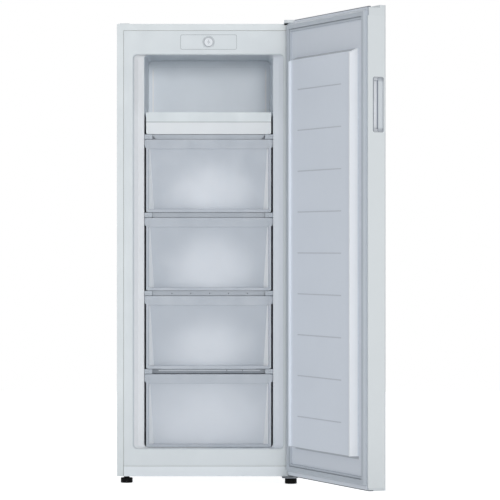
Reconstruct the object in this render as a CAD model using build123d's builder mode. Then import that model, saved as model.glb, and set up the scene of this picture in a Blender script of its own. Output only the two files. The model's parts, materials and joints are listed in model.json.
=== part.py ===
from build123d import *
import os
from math import radians, tan

# Upright freezer, standing with its door open. All lengths are millimetres.
# X runs to the right as seen from the front, Y from the cabinet's front face to the back, Z up.
# The origin lies on the floor, under the middle of the cabinet's front face.

os.makedirs("parts", exist_ok=True)

# ---- driving dimensions: cabinet ----------------------------------------------------------
cabinet_width = 555.0
cabinet_depth = 500.0
cabinet_height = 1369.7  # steel casing, without its feet
foot_height = 22.8  # floor to the underside of the casing
casing_sheet = 0.8
casing_corner_radius = 4.0
front_border = 19.7  # width of the folded steel edge beside the liner
front_hem_depth = 10.0
rear_border = 14.0
plinth_height = 30.2
plinth_wall = 2.0
panel_gap = 1.2  # the fine groove round the liner and over the plinth
back_sheet = 0.6
back_clearance = 0.2
field_count = 3  # pressed fields of the back panel
field_rise = 2.0
field_margin = 50.0
field_corner = 18.0

# ---- driving dimensions: liner ------------------------------------------------------------
liner_wall = 1.8
opening_side = 49.9  # from the cabinet's side to the opening
sill_height = 84.1  # from the casing's underside to the opening
header_height = 93.3  # from the opening to the cabinet's top
opening_radius = 12.0
opening_round = 4.0  # rounded edge of the opening
step_depth = 25.0  # depth of the steep wall that the door's inner panel enters
step_run = 13.1
bevel_depth = 45.0  # depth at which the sloping border reaches the cavity
bevel_run = 18.2
cavity_draft = 3.3  # the side walls close in by this much at the back
cavity_back = 70.0  # from the cavity's back wall to the back of the cabinet
cavity_rise = 11.8  # the ceiling is higher than the opening's top edge
hump_lead = 56.0  # the step in the floor starts this far in front of the machine room
hump_lean = 16.0
hump_cover = 48.0  # from the machine room's roof to the top of the step
frame_side = 16.3  # border of the shallow frame in the back wall
frame_margin = 20.0
frame_depth = 3.0
frame_corner = 14.0

# ---- driving dimensions: drawers and shelves ----------------------------------------------
drawer_count = 4
drawer_side_gap = 6.0
drawer_lift = 1.1  # the lowest drawer stands this far above the opening's edge
level_gap = 16.7  # between one drawer's top and the next one's bottom
drawer_wall = 2.2
drawer_back_gap = 11.0
drawer_face_thickness = 22.0
drawer_band = 28.0
drawer_rim = 8.5
drawer_frame = 7.2
drawer_edge_radius = 5.0
pocket_depth_top = 4.0
pocket_depth_bottom = 15.5
catch_width = 4.0  # the two small windows in each top corner of a drawer front
catch_height = 6.5
catch_depth = 1.2
catch_inset = 8.5
catch_drop = 13.5
catch_pitch = 9.0
tub_draft = 2.0  # degrees
tub_drop = 16.0  # the tub's rim lies this far below the front's top
tub_clearance = 3.0  # each side of the tub, behind its front
tub_rim = 2.8
tub_edge_radius = 6.0
tub_corner_radius = 12.0
skid_width = 12.0
skid_margin = 20.0
tray_height = 66.0
tray_band = 29.4
tray_step = 1.5
tray_lean = 5.0
shelf_tube = 8.0
shelf_wire = 1.6
seat_gap = 0.3
shelf_passes = 6
shelf_setback = 21.0  # from the drawers' fronts to the first pass of the tube
shelf_side_gap = 9.3
shelf_back_gap = 64.0
wire_pairs = 5
wire_margin = 13.25
trim_thickness = 6.0
trim_side_gap = 19.3
trim_margin = 1.1
trim_corner = 2.0
trim_chamfer = 11.0
trim_slots = 5
trim_slot_width = 2.4
trim_slot_height = 5.0
trim_slot_shift = 3.0
rail_reach = 16.3  # the shelf rails stand out this far from the liner's sides
rail_front = 50.0
rail_back_gap = 40.0
rail_corner = 6.0

# ---- driving dimensions: door -------------------------------------------------------------
door_gap = 9.0  # cabinet front to the door's inner panel, filled by the gasket
door_thickness = 58.0
door_base_gap = 4.2  # the door's underside is higher than the casing's
door_rise = 6.0  # the door's top is higher than the casing's
door_front_radius = 8.0
door_sheet = 0.8
door_lip = 14.0
door_liner_wall = 2.0
panel_margin = 3.0
panel_side = 9.0  # the inner panel ends this far inside the door's upright edges
edge_hem = 1.6  # folded edge of the door's sheet
edge_round = 1.2
channel_depth = 4.0  # the groove between that edge and the inner panel
top_cap_height = 27.0
bottom_cap_height = 9.0
cap_wall = 2.5
cap_skirt = 8.0
cap_clearance = 0.2
cap_valley = 4.0
cap_front_lip = 3.5
cap_lip_depth = 21.0
cap_rear_rim = 6.0
drain_slot = 14.0
drain_width = 4.0
drain_inset = 35.0
drain_setback = 8.0
plateau_side_gap = 11.6  # between the inner panel's raised middle and the opening
plateau_base_gap = 11.1
plateau_top_gap = 13.2
plateau_height = 19.5
plateau_top_run = 14.8
plateau_base_run = 3.0
plateau_radius = 4.0
dike_height = 26.6
dike_run = 4.5
dike_crest = 6.0
valley_run = 1.2
emboss_count = 9
emboss_top_margin = 101.0
emboss_base_margin = 95.8
emboss_free_margin = 73.8
emboss_hinge_margin = 57.0
emboss_depth = 1.2
emboss_width = 3.0
gasket_margin = 9.5
gasket_base_margin = 13.5
gasket_width = 25.0
gasket_lip = 17.2
gasket_bevel = 5.0
gasket_groove = 2.3
gasket_groove_floor = 2.5
gasket_inner_height = 5.0
gasket_gap = 0.6  # left at the cabinet when the door is shut
gasket_corner = 4.0
magnet_width = 8.0
magnet_thickness = 2.4
magnet_cover = 1.2
magnet_end = 24.0
handle_width = 31.7
handle_height = 154.0
handle_drop = 201.5  # from the door's top to the handle's top
handle_setback = 14.3  # from the door's rear edge
handle_rim = 1.6
handle_shallow = 4.0
handle_ramp = 6.0  # depth at which the pocket's ramp starts
handle_deep = 20.0
handle_deep_width = 13.5
handle_deep_offset = 1.5
handle_floor_width = 3.0
handle_corner = 4.0
handle_shell = 1.5
handle_pocket_margin = 8.0

# ---- driving dimensions: hinges -----------------------------------------------------------
hinge_inset = 14.5  # the pins stand this far inside the cabinet's side
hinge_lead = 31.0  # and this far in front of its face
door_open_angle = 113.0
pin_radius = 4.0
pin_clearance = 0.05
pin_head = 2.0
pin_tail = 2.0
bush_wall = 2.5
bush_length = 16.0
collar_width = 3.5
collar_gap = 0.1
pocket_reach = 36.5  # the door cap is open this far beside the pin
pocket_margin = 6.5  # width left in front of the hinge pocket
bracket_thickness = 3.0
bracket_gap = 1.0
bracket_reach = 33.0
bracket_side = 7.0
bracket_nose = 9.0
bracket_tail = 60.0
bracket_corner = 9.0
screw_radius = 2.5
screw_length = 14.0
screw_head_radius = 4.6
screw_head_height = 2.8
screw_near = 24.0  # depths of the hinge screws behind the cabinet's face
screw_far = 50.0
screw_spread = 22.0
plate_thickness = 2.5
cover_margin = 2.0
cover_tail = 6.0
cover_rise = 8.6
cover_wall = 1.5
cover_radius = 10.0
cover_edge = 1.2
blank_inset = 23.3  # the blanking cap's middle, from the cabinet's side
blank_setback = 22.0
blank_width = 29.0
blank_length = 35.0
blank_height = 2.0
blank_corner = 3.0
peg_radius = 3.0
peg_length = 9.0
low_bracket_reach = 41.0
low_bracket_tail = 62.0
low_bracket_corner = 12.0
low_bolt_radius = 3.0
low_bolt_length = 14.0
low_bolt_head_radius = 6.0
low_bolt_head_height = 4.0
low_bolt_setback = 44.0
low_bolt_inner = 34.0
low_bolt_outer = 2.0

# ---- driving dimensions: controls ---------------------------------------------------------
fascia_width = 170.5
fascia_height = 45.0
fascia_drop = 77.6  # from the cabinet's top to the fascia's lower edge
fascia_radius = 6.0
fascia_sink = 1.0
fascia_wall = 2.5
knob_radius = 13.6
knob_ring = 3.0
knob_height = 6.2
knob_grip = 4.4
knob_grip_margin = 2.0
knob_edge = 0.8
ring_sink = 1.2
shaft_radius = 3.0
control_box_depth = 34.0
thermostat_width = 46.0
thermostat_height = 36.0
thermostat_depth = 24.0
thermostat_corner = 3.0

# ---- driving dimensions: feet and machine room --------------------------------------------
foot_radius = 18.2
foot_pad_height = 15.0
foot_pad_chamfer = 1.2
foot_neck_radius = 8.7
foot_stud_radius = 5.0
foot_stud_top = 44.0
foot_inset = 28.0
left_foot_y = 48.0
right_foot_y = 12.0
foot_clearance = 0.3
nut_width = 17.0
nut_height = 8.0
rear_foot_inset = 45.5
rear_foot_back = 60.0
rear_foot_radius = 15.0
rear_foot_chamfer = 2.0
machine_depth = 182.0
machine_height = 191.2
pan_sheet = 1.0
rail_back = 90.0  # from the compressor's rail, at its middle, to the back of the cabinet
rail_width = 150.0
rail_sheet = 2.0
rail_flange = 12.0
compressor_inset = 172.5  # from the cabinet's side
compressor_radius = 72.0
compressor_height = 150.0
shell_step = 3.0  # the shell's upper half overlaps the lower by a welded edge
shell_foot = 14.0
shell_crown = 34.0
shell_seam_height = 5.0
grommet_height = 11.0
grommet_radius = 11.0
grommet_spacing_x = 170.0
grommet_spacing_y = 102.0
grommet_neck_radius = 7.0
grommet_flange = 3.0
grommet_step = 1.5
plate_width = 200.0
plate_depth = 128.0
plate_corner = 8.0
mount_bolt_radius = 3.0
mount_bolt_end = 4.0
mount_head_radius = 6.0
mount_head_height = 4.0
terminal_depth = 22.0
terminal_width = 56.0
terminal_height = 50.0
terminal_rise = 30.0
terminal_corner = 4.0
inlet_radius = 4.5
inlet_wall = 2.0
inlet_length = 8.0
inlet_setback = 12.0
inlet_hole = 6.0
discharge_radius = 2.5
discharge_rise = 40.0
discharge_out = 25.0
discharge_lead = 50.0
suction_radius = 4.0
suction_rise = 60.0
suction_gap = 5.6
suction_run = 80.0
pipe_bend = 8.0
drier_shift = 190.0
drier_radius = 9.0
drier_rise = 67.2
drier_length = 80.0
drier_taper = 10.0
capillary_radius = 1.2
capillary_tail = 24.0
capillary_run = 50.0
condenser_tube = 4.8
condenser_passes = 6
condenser_front = 90.0
condenser_back_gap = 30.0
condenser_base_gap = 76.0
condenser_top_gap = 62.5

# ---- places worked out from the driving dimensions ----------------------------------------
half_width = cabinet_width / 2
cabinet_bottom = foot_height
cabinet_top = cabinet_bottom + cabinet_height
inside_half = half_width - casing_sheet
flange_half = half_width - front_border - panel_gap
plinth_top = cabinet_bottom + plinth_height
flange_bottom = plinth_top + panel_gap
flange_top = cabinet_top - front_border - panel_gap
back_inside = cabinet_depth - casing_sheet - back_sheet
pan_top = cabinet_bottom + pan_sheet
machine_front = cabinet_depth - machine_depth
machine_top = cabinet_bottom + machine_height
rail_y = cabinet_depth - rail_back

opening_half_width = half_width - opening_side
opening_bottom = cabinet_bottom + sill_height
opening_top = cabinet_top - header_height
step_half_width = opening_half_width - step_run
cavity_half_width = step_half_width - bevel_run
cavity_depth = cabinet_depth - cavity_back
hump_front = machine_front - hump_lead
hump_top = machine_top + hump_cover
back_frame_half_width = cavity_half_width - frame_side
rail_half_gap = cavity_half_width - rail_reach
rail_length = cavity_depth - rail_back_gap - rail_front

drawer_half_width = cavity_half_width - drawer_side_gap
drawer_bottom = opening_bottom + drawer_lift
drawer_pitch = (opening_top - drawer_bottom) / (drawer_count + 1)
drawer_height = drawer_pitch - level_gap
level_bottoms = [drawer_bottom + number * drawer_pitch for number in range(drawer_count + 1)]
face = bevel_depth
face_back = face + drawer_face_thickness
drawer_length = cavity_depth - drawer_back_gap - face_back
low_drawer_length = hump_front - drawer_back_gap - face_back
shelf_stack = shelf_tube + shelf_wire + seat_gap
shelf_front = face + shelf_setback
shelf_half_width = cavity_half_width - shelf_side_gap
shelf_bend = (cavity_depth - shelf_back_gap - shelf_front) / (shelf_passes - 1) / 2
wire_pitch = (shelf_half_width - shelf_bend - wire_margin) / wire_pairs
trim_half_width = drawer_half_width - trim_side_gap

door_inner = -door_gap
door_rear = door_inner - door_liner_wall
door_front = door_inner - door_thickness
door_bottom = cabinet_bottom + door_base_gap
door_top = cabinet_top + door_rise
cap_seam = door_top - top_cap_height
base_seam = door_bottom + bottom_cap_height
plateau_half_width = opening_half_width - plateau_side_gap
plateau_bottom = opening_bottom + plateau_base_gap
plateau_top = opening_top - plateau_top_gap
compressor_x = half_width - compressor_inset
plateau_face = door_inner + plateau_height
emboss_left = emboss_free_margin - plateau_half_width
emboss_right = plateau_half_width - emboss_hinge_margin
emboss_first = plateau_top - emboss_top_margin
emboss_last = plateau_bottom + emboss_base_margin
emboss_pitch = (emboss_first - emboss_last) / (emboss_count - 1)
handle_middle_y = door_rear - handle_setback - handle_width / 2
handle_middle_z = door_top - handle_drop - handle_height / 2

hinge_x = half_width - hinge_inset
hinge_y = -hinge_lead
bracket_z = cabinet_top
bracket_left = hinge_x - bracket_reach
bracket_right = hinge_x + bracket_side
bracket_front = hinge_y - bracket_nose
bracket_back = bracket_tail
low_bracket_z = cabinet_bottom - bracket_thickness
low_bracket_left = hinge_x - low_bracket_reach
low_bracket_back = low_bracket_tail
hinge_screw_places = (
    (hinge_x - screw_spread, screw_near),
    (hinge_x, screw_near),
    (hinge_x - screw_spread / 2, screw_far),
)
low_bolt_places = (
    (hinge_x - low_bolt_inner, low_bolt_setback),
    (hinge_x + low_bolt_outer, low_bolt_setback),
)
blank_x = blank_inset - half_width
blank_y = blank_setback
fascia_bottom = cabinet_top - fascia_drop
fascia_middle = fascia_bottom + fascia_height / 2
foot_x = half_width - foot_inset
foot_places = ((-foot_x, left_foot_y), (foot_x, right_foot_y))
rear_foot_x = half_width - rear_foot_inset
rear_foot_y = cabinet_depth - rear_foot_back
condenser_bottom = machine_top + condenser_base_gap
condenser_top = cabinet_top - condenser_top_gap
condenser_reach = cavity_depth - condenser_back_gap - condenser_front
condenser_pitch = condenser_reach / (condenser_passes - 1)
far = cabinet_width  # reaches past the whole part, for cutting


def facing(y):
    """A plane at depth y whose own x and y run along X and Z."""
    return Plane(origin=(0, y, 0), x_dir=(1, 0, 0), z_dir=(0, -1, 0))


def from_side(x):
    """A plane at x whose own x and y run along Y and Z."""
    return Plane(origin=(x, 0, 0), x_dir=(0, 1, 0), z_dir=(1, 0, 0))


def level(z):
    """A plane at height z."""
    return Plane.XY.offset(z)


def upright_loft(sections):
    """Joins upright rounded rectangles, each (y, half width, bottom, top, radius), front to back."""
    with BuildPart() as body:
        for y, half, low, high, radius in sections:
            with BuildSketch(facing(y)):
                with Locations((0, (low + high) / 2)):
                    RectangleRounded(2 * half, high - low, radius)
        loft(ruled=True)
    return body.part


def slab(x, y, z):
    """A plain block between two limits on each axis, for cutting."""
    with BuildPart() as block:
        with BuildSketch(level(z[0])):
            with Locations(((x[0] + x[1]) / 2, (y[0] + y[1]) / 2)):
                Rectangle(x[1] - x[0], y[1] - y[0])
        extrude(amount=z[1] - z[0])
    return block.part


def write(piece, name):
    """Labels a finished piece and writes it as its own file."""
    piece.label = name
    export_step(piece, "parts/" + name + ".step")


# ---- outer casing: one steel wrap over both sides and the top ------------------------------
def casing_arch(inset, bottom):
    """The casing's front outline, drawn in by an inset, open shape closed along the bottom."""
    top = cabinet_top - inset
    with Locations((0, (bottom + top) / 2)):
        Rectangle(2 * (half_width - inset), top - bottom)
    fillet(vertices().group_by(Axis.Y)[-1], max(casing_corner_radius - inset, 0.5))


with BuildPart() as outer_casing:
    with BuildSketch(facing(0)):
        casing_arch(0, cabinet_bottom)
    extrude(amount=-cabinet_depth)
    with BuildSketch(facing(casing_sheet)):
        with Locations((0, (cabinet_bottom + cabinet_top - casing_sheet) / 2)):
            Rectangle(2 * inside_half, cabinet_height - casing_sheet)
    extrude(amount=-(cabinet_depth - 2 * casing_sheet), mode=Mode.SUBTRACT)
    with BuildSketch(facing(0)):
        with Locations((0, (cabinet_bottom + cabinet_top - front_border) / 2)):
            Rectangle(2 * (half_width - front_border), cabinet_height - front_border)
    extrude(amount=-casing_sheet, mode=Mode.SUBTRACT)
    with BuildSketch(facing(cabinet_depth - casing_sheet)):
        with Locations((0, (cabinet_bottom + cabinet_top - rear_border) / 2)):
            Rectangle(2 * (half_width - rear_border), cabinet_height - rear_border)
    extrude(amount=-casing_sheet, mode=Mode.SUBTRACT)
    # the hem that stiffens the folded front edge
    hem_outer = half_width - front_border + casing_sheet
    with BuildSketch(facing(casing_sheet)):
        with Locations((0, (flange_bottom + cabinet_top - front_border + casing_sheet) / 2)):
            Rectangle(2 * hem_outer, cabinet_top - front_border + casing_sheet - flange_bottom)
        with Locations((0, (flange_bottom + cabinet_top - front_border) / 2)):
            Rectangle(
                2 * (half_width - front_border),
                cabinet_top - front_border - flange_bottom,
                mode=Mode.SUBTRACT,
            )
        with Locations((0, flange_bottom)):
            Rectangle(2 * (half_width - front_border), 2 * casing_sheet, mode=Mode.SUBTRACT)
    extrude(amount=-front_hem_depth)
    # holes for the blanking cap's peg and for the top hinge screws
    with BuildSketch(level(cabinet_top - casing_sheet)):
        with Locations((blank_x, blank_y)):
            Circle(peg_radius + pin_clearance)
        with Locations(*hinge_screw_places):
            Circle(screw_radius + pin_clearance)
    extrude(amount=casing_sheet, mode=Mode.SUBTRACT)
write(outer_casing.part, "outer_casing")

# ---- back panel and plinth -----------------------------------------------------------------
back_half = inside_half - back_clearance
back_bottom = machine_top + pan_sheet
back_top = cabinet_top - casing_sheet - back_clearance
field_pitch = (back_top - back_bottom - field_margin) / field_count
with BuildPart() as back_panel:
    with BuildSketch(facing(back_inside)):
        with Locations((0, (back_bottom + back_top) / 2)):
            Rectangle(2 * back_half, back_top - back_bottom)
    extrude(amount=-back_sheet)
    with BuildSketch(facing(back_inside)):
        with Locations((0, (back_bottom + back_top) / 2)):
            with GridLocations(1, field_pitch, 1, field_count):
                RectangleRounded(
                    2 * (back_half - field_margin), field_pitch - field_margin, field_corner
                )
    extrude(amount=-(back_sheet + field_rise))
    with BuildSketch(facing(back_inside)):
        with Locations((0, (back_bottom + back_top) / 2)):
            with GridLocations(1, field_pitch, 1, field_count):
                RectangleRounded(
                    2 * (back_half - field_margin - back_sheet),
                    field_pitch - field_margin - 2 * back_sheet,
                    field_corner - back_sheet,
                )
    extrude(amount=-field_rise, mode=Mode.SUBTRACT)
write(back_panel.part, "back_panel")

with BuildPart() as front_plinth:
    with BuildSketch(from_side(0)):
        with BuildLine():
            Polyline(
                (0, cabinet_bottom),
                (0, plinth_top),
                (front_hem_depth, plinth_top),
                (front_hem_depth, plinth_top - plinth_wall),
                (plinth_wall, plinth_top - plinth_wall),
                (plinth_wall, cabinet_bottom),
                close=True,
            )
        make_face()
    extrude(amount=flange_half, both=True)
write(front_plinth.part, "front_plinth")

# ---- base pan: floor, step up and roof of the machine room ----------------------------------
pan_front = plinth_wall
pan_half = inside_half
with BuildPart() as base_pan:
    with BuildSketch(from_side(0)):
        with BuildLine():
            Polyline(
                (pan_front, cabinet_bottom),
                (pan_front, pan_top),
                (machine_front - pan_sheet, pan_top),
                (machine_front - pan_sheet, machine_top + pan_sheet),
                (back_inside, machine_top + pan_sheet),
                (back_inside, machine_top),
                (machine_front, machine_top),
                (machine_front, cabinet_bottom),
                close=True,
            )
        make_face()
    extrude(amount=pan_half, both=True)
    with BuildSketch(level(cabinet_bottom)):
        with Locations(*foot_places):
            Circle(foot_stud_radius + pin_clearance)
        with Locations(*low_bolt_places):
            Circle(low_bolt_radius + pin_clearance)
    extrude(amount=pan_sheet, mode=Mode.SUBTRACT)
write(base_pan.part, "base_pan")

# ---- inner liner: a vacuum-formed shell ----------------------------------------------------


def cavity_sections(grow):
    """Sections of the cavity from front to back, grown on every side for the liner's outside."""
    low = opening_bottom - grow
    high = opening_top + grow
    radius = opening_radius + grow
    edge = opening_round
    ceiling = high + cavity_rise
    return [
        (0, opening_half_width + grow + edge, low - edge, high + edge, radius + edge),
        (edge / 4, opening_half_width + grow + edge / 4, low - edge / 4, high + edge / 4, radius),
        (edge, opening_half_width + grow, low, high, radius),
        (step_depth, step_half_width + grow, low, high + 1, radius),
        (bevel_depth, cavity_half_width + grow, low, high + cavity_rise / 3, radius),
        (cavity_depth + grow, cavity_half_width - cavity_draft + grow, low, ceiling, radius),
    ]


def hump(grow):
    """The step over the machine room, as a block to cut from the cavity."""
    foot = hump_front + grow
    roof = hump_top - grow
    reach = cabinet_depth
    base = cabinet_bottom
    with BuildPart() as block:
        with BuildSketch(from_side(0)):
            with BuildLine():
                Polyline(
                    (foot, base),
                    (foot + hump_lean, roof),
                    (reach, roof),
                    (reach, base),
                    close=True,
                )
            make_face()
        extrude(amount=half_width, both=True)
    return block.part


def back_field(grow):
    """The shallow frame pressed into the cavity's back wall."""
    low = hump_top + frame_margin - grow
    high = opening_top + cavity_rise - frame_margin + grow
    with BuildPart() as block:
        with BuildSketch(facing(cavity_depth - 1)):
            with Locations((0, (low + high) / 2)):
                RectangleRounded(2 * (back_frame_half_width + grow), high - low, frame_corner + grow)
        extrude(amount=-(frame_depth + 1 + grow))
    return block.part


def shelf_rail(z_low, z_high):
    """One pair of moulded rails that a cooling shelf lies on."""
    with BuildPart() as rails:
        for side in (-1, 1):
            with BuildSketch(level(z_low)):
                outer = side * (cavity_half_width + liner_wall / 2)
                inner = side * rail_half_gap
                with Locations(((outer + inner) / 2, rail_front + rail_length / 2)):
                    Rectangle(abs(outer - inner), rail_length)
                fillet(vertices().group_by(Axis.Y)[0].sort_by(Axis.X)[-1 if side < 0 else 0], rail_corner)
            extrude(amount=z_high - z_low)
    return rails.part


liner_outside = upright_loft(cavity_sections(liner_wall))
liner_inside = upright_loft(cavity_sections(0))
field_outside = back_field(liner_wall)
field_inside = back_field(0)
hump_outside = hump(liner_wall)
hump_inside = hump(0)
rail_blocks = []
for upper_bottom in level_bottoms[1:]:
    rail_low = upper_bottom - level_gap + trim_margin
    rail_high = upper_bottom - shelf_stack - seat_gap
    rail_blocks.append(shelf_rail(rail_low, rail_high))

with BuildPart() as cavity_outside:
    add(liner_outside)
    add(field_outside)
    add(hump_outside, mode=Mode.SUBTRACT)

with BuildPart() as cavity_inside:
    add(liner_inside)
    add(field_inside)
    add(hump_inside, mode=Mode.SUBTRACT)
    add(rail_blocks, mode=Mode.SUBTRACT)

housing_half = fascia_width / 2 + fascia_wall
housing_low = fascia_bottom - fascia_wall
housing_high = fascia_bottom + fascia_height + fascia_wall
with BuildPart() as inner_liner:
    with BuildSketch(facing(0)):
        with Locations((0, (flange_bottom + flange_top) / 2)):
            Rectangle(2 * flange_half, flange_top - flange_bottom)
    extrude(amount=-liner_wall)
    add(cavity_outside.part)
    add(cavity_inside.part, mode=Mode.SUBTRACT)
    with BuildSketch(facing(0)):
        with Locations((0, fascia_middle)):
            RectangleRounded(fascia_width, fascia_height, fascia_radius)
    extrude(amount=-liner_wall, mode=Mode.SUBTRACT)
write(inner_liner.part, "inner_liner")

# ---- control panel: housing, thermostat, fascia and knob ------------------------------------
with BuildPart() as control_housing:
    with BuildSketch(facing(liner_wall)):
        with Locations((0, fascia_middle)):
            RectangleRounded(2 * housing_half, housing_high - housing_low, fascia_radius + fascia_wall)
    extrude(amount=-control_box_depth)
    with BuildSketch(facing(liner_wall)):
        with Locations((0, fascia_middle)):
            RectangleRounded(fascia_width, fascia_height, fascia_radius)
    extrude(amount=-(control_box_depth - fascia_wall), mode=Mode.SUBTRACT)
write(control_housing.part, "control_housing")

fascia_back = fascia_sink + fascia_wall
ring_radius = knob_radius + knob_ring
with BuildPart() as control_fascia:
    with BuildSketch(facing(fascia_sink)):
        with Locations((0, fascia_middle)):
            RectangleRounded(fascia_width - pin_clearance, fascia_height - pin_clearance, fascia_radius)
    extrude(amount=-(front_hem_depth - fascia_sink))
    with BuildSketch(facing(fascia_back)):
        with Locations((0, fascia_middle)):
            RectangleRounded(
                fascia_width - 2 * fascia_wall,
                fascia_height - 2 * fascia_wall,
                fascia_radius - fascia_wall,
            )
    extrude(amount=-(front_hem_depth - fascia_back), mode=Mode.SUBTRACT)
    with BuildSketch(facing(fascia_sink)):
        with Locations((0, fascia_middle)):
            Circle(ring_radius)
    extrude(amount=-ring_sink, mode=Mode.SUBTRACT)
    with BuildSketch(facing(0)):
        with Locations((0, fascia_middle)):
            Circle(shaft_radius + pin_clearance)
    extrude(amount=-front_hem_depth, mode=Mode.SUBTRACT)
write(control_fascia.part, "control_fascia")

shaft_front = fascia_sink - knob_height + fascia_wall
with BuildPart() as thermostat:
    with BuildSketch(facing(fascia_back)):
        with Locations((0, fascia_middle)):
            RectangleRounded(thermostat_width, thermostat_height, thermostat_corner)
    extrude(amount=-thermostat_depth)
    with BuildSketch(facing(fascia_back)):
        with Locations((0, fascia_middle)):
            Circle(shaft_radius)
    extrude(amount=fascia_back - shaft_front)
write(thermostat.part, "thermostat")

knob_back = fascia_sink + ring_sink - foot_clearance
knob_front = fascia_sink - knob_height
with BuildPart() as temperature_knob:
    with BuildSketch(facing(knob_back)):
        with Locations((0, fascia_middle)):
            Circle(knob_radius)
    extrude(amount=knob_back - knob_front - knob_grip / 2)
    fillet(edges().filter_by(GeomType.CIRCLE).sort_by(Axis.Y)[0], knob_edge)
    with BuildSketch(facing(knob_back)):
        with Locations((0, fascia_middle)):
            SlotOverall(2 * (knob_radius - knob_grip_margin), knob_grip, rotation=90)
    extrude(amount=knob_back - knob_front)
    with BuildSketch(facing(knob_back)):
        with Locations((0, fascia_middle)):
            Circle(shaft_radius + pin_clearance)
    extrude(amount=knob_back - shaft_front + foot_clearance, mode=Mode.SUBTRACT)
write(temperature_knob.part, "temperature_knob")

# ---- refrigeration circuit in the side walls and shelves -------------------------------------


def serpentine(plane, run, passes, pitch, radius):
    """A tube that runs to and fro along the plane's x, one pass above the other along its y."""
    with BuildPart() as tube:
        with BuildLine(plane) as path:
            for row in range(passes):
                heading = 1 if row % 2 == 0 else -1
                start = (-heading * run / 2, row * pitch)
                end = (heading * run / 2, row * pitch)
                Line(start, end)
                if row < passes - 1:
                    bulge = (end[0] + heading * pitch / 2, end[1] + pitch / 2)
                    ThreePointArc(end, bulge, (end[0], end[1] + pitch))
        route = path.wires()[0]
        with BuildSketch(Plane(origin=route @ 0, z_dir=route % 0)):
            Circle(radius)
        sweep(path=route)
    return tube.part


def condenser(side, radius):
    """The warm tube behind one side sheet, with upright passes."""
    wall_x = side * (inside_half - condenser_tube / 2 - pin_clearance)
    middle = (condenser_bottom + condenser_top) / 2
    plane = Plane(origin=(wall_x, condenser_front, middle), x_dir=(0, 0, 1), z_dir=(-1, 0, 0))
    run = condenser_top - condenser_bottom - condenser_pitch
    return serpentine(plane, run, condenser_passes, condenser_pitch, radius)


left_condenser = condenser(-1, condenser_tube / 2)
right_condenser = condenser(1, condenser_tube / 2)
write(left_condenser, "condenser_coil_left")
write(right_condenser, "condenser_coil_right")

bend_reach = shelf_bend + shelf_tube / 2
shelf_run = 2 * (shelf_half_width - bend_reach)
wire_radius = shelf_wire / 2
wire_start = shelf_front - shelf_tube / 2
wire_length = (shelf_passes - 1) * 2 * shelf_bend + shelf_tube
cross_wires = (wire_start + wire_radius, wire_start + wire_length - wire_radius)
shelf_tubes = []
for upper_bottom in level_bottoms[:0:-1]:
    tube_z = upper_bottom - seat_gap - shelf_wire - shelf_tube / 2
    plane = Plane(origin=(0, shelf_front, tube_z), x_dir=(1, 0, 0), z_dir=(0, 0, 1))
    shelf_tubes.append(serpentine(plane, shelf_run, shelf_passes, 2 * shelf_bend, shelf_tube / 2))
with BuildPart() as cooling_tubes:
    add(shelf_tubes)
write(cooling_tubes.part, "cooling_tubes")

with BuildPart() as shelf_wires:
    for upper_bottom in level_bottoms[:0:-1]:
        wire_z = upper_bottom - seat_gap - wire_radius
        with BuildSketch(facing(wire_start)):
            with Locations((0, wire_z)):
                with GridLocations(wire_pitch, 1, 2 * wire_pairs + 1, 1):
                    Circle(wire_radius)
        extrude(amount=-wire_length)
        with BuildSketch(from_side(0)):
            with Locations(*[(y, wire_z) for y in cross_wires]):
                Circle(wire_radius)
        extrude(amount=wire_pairs * wire_pitch + 2 * wire_radius, both=True)
write(shelf_wires.part, "shelf_wires")

# the strips that close the upper gaps between two drawers; the lowest gap is open
trim_height = level_gap - 2 * trim_margin
trim_back = shelf_front - shelf_tube / 2 - seat_gap
trim_front = trim_back - trim_thickness
trim_lows = [upper_bottom - level_gap + trim_margin for upper_bottom in level_bottoms[:1:-1]]


def trim_strip(trim_low, corner_cut):
    """One strip in front of a cooling shelf, with its lower corners cut off."""
    with BuildPart() as strip:
        with BuildSketch(facing(trim_front)):
            with Locations((0, trim_low + trim_height / 2)):
                Rectangle(2 * trim_half_width, trim_height)
            chamfer(vertices().group_by(Axis.Y)[0], corner_cut)
        extrude(amount=-trim_thickness)
    return strip.part


corner_cuts = (trim_chamfer, trim_corner, trim_corner)
shelf_strips = [trim_strip(trim_low, size) for trim_low, size in zip(trim_lows, corner_cuts)]
with BuildPart() as upper_shelf_trims:
    add(shelf_strips[:-1])
write(upper_shelf_trims.part, "upper_shelf_trims")

with BuildPart() as slotted_shelf_trim:
    add(shelf_strips[-1])
    with BuildSketch(facing(trim_front)):
        with Locations((trim_slot_shift, trim_lows[-1] + trim_height / 2)):
            with GridLocations(2 * wire_pitch, 1, trim_slots, 1):
                RectangleRounded(trim_slot_width, trim_slot_height, trim_slot_width / 2.4)
    extrude(amount=-trim_thickness, mode=Mode.SUBTRACT)
write(slotted_shelf_trim.part, "slotted_shelf_trim")

# ---- drawers and tray ------------------------------------------------------------------------


def face_pocket(low, high, half, grow):
    """The leaning panel of a drawer front, with 45 degree cheeks that widen as it deepens."""
    with BuildPart() as pocket:
        with BuildSketch(from_side(0)):
            with BuildLine():
                Polyline(
                    (face - 1, low - grow),
                    (face - 1, high + grow),
                    (face + pocket_depth_top + grow, high + grow),
                    (face + pocket_depth_bottom + grow, low - grow),
                    close=True,
                )
            make_face()
        extrude(amount=half + 1 + grow, both=True)
        reach = drawer_face_thickness
        with BuildSketch(level(low - grow)):
            with BuildLine():
                Polyline(
                    (-half - grow - 1, face - 1),
                    (half + grow + 1, face - 1),
                    (half + grow - reach, face + reach),
                    (-half - grow + reach, face + reach),
                    close=True,
                )
            make_face()
        extrude(amount=high - low + 2 * grow, mode=Mode.INTERSECT)
    return pocket.part


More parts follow.
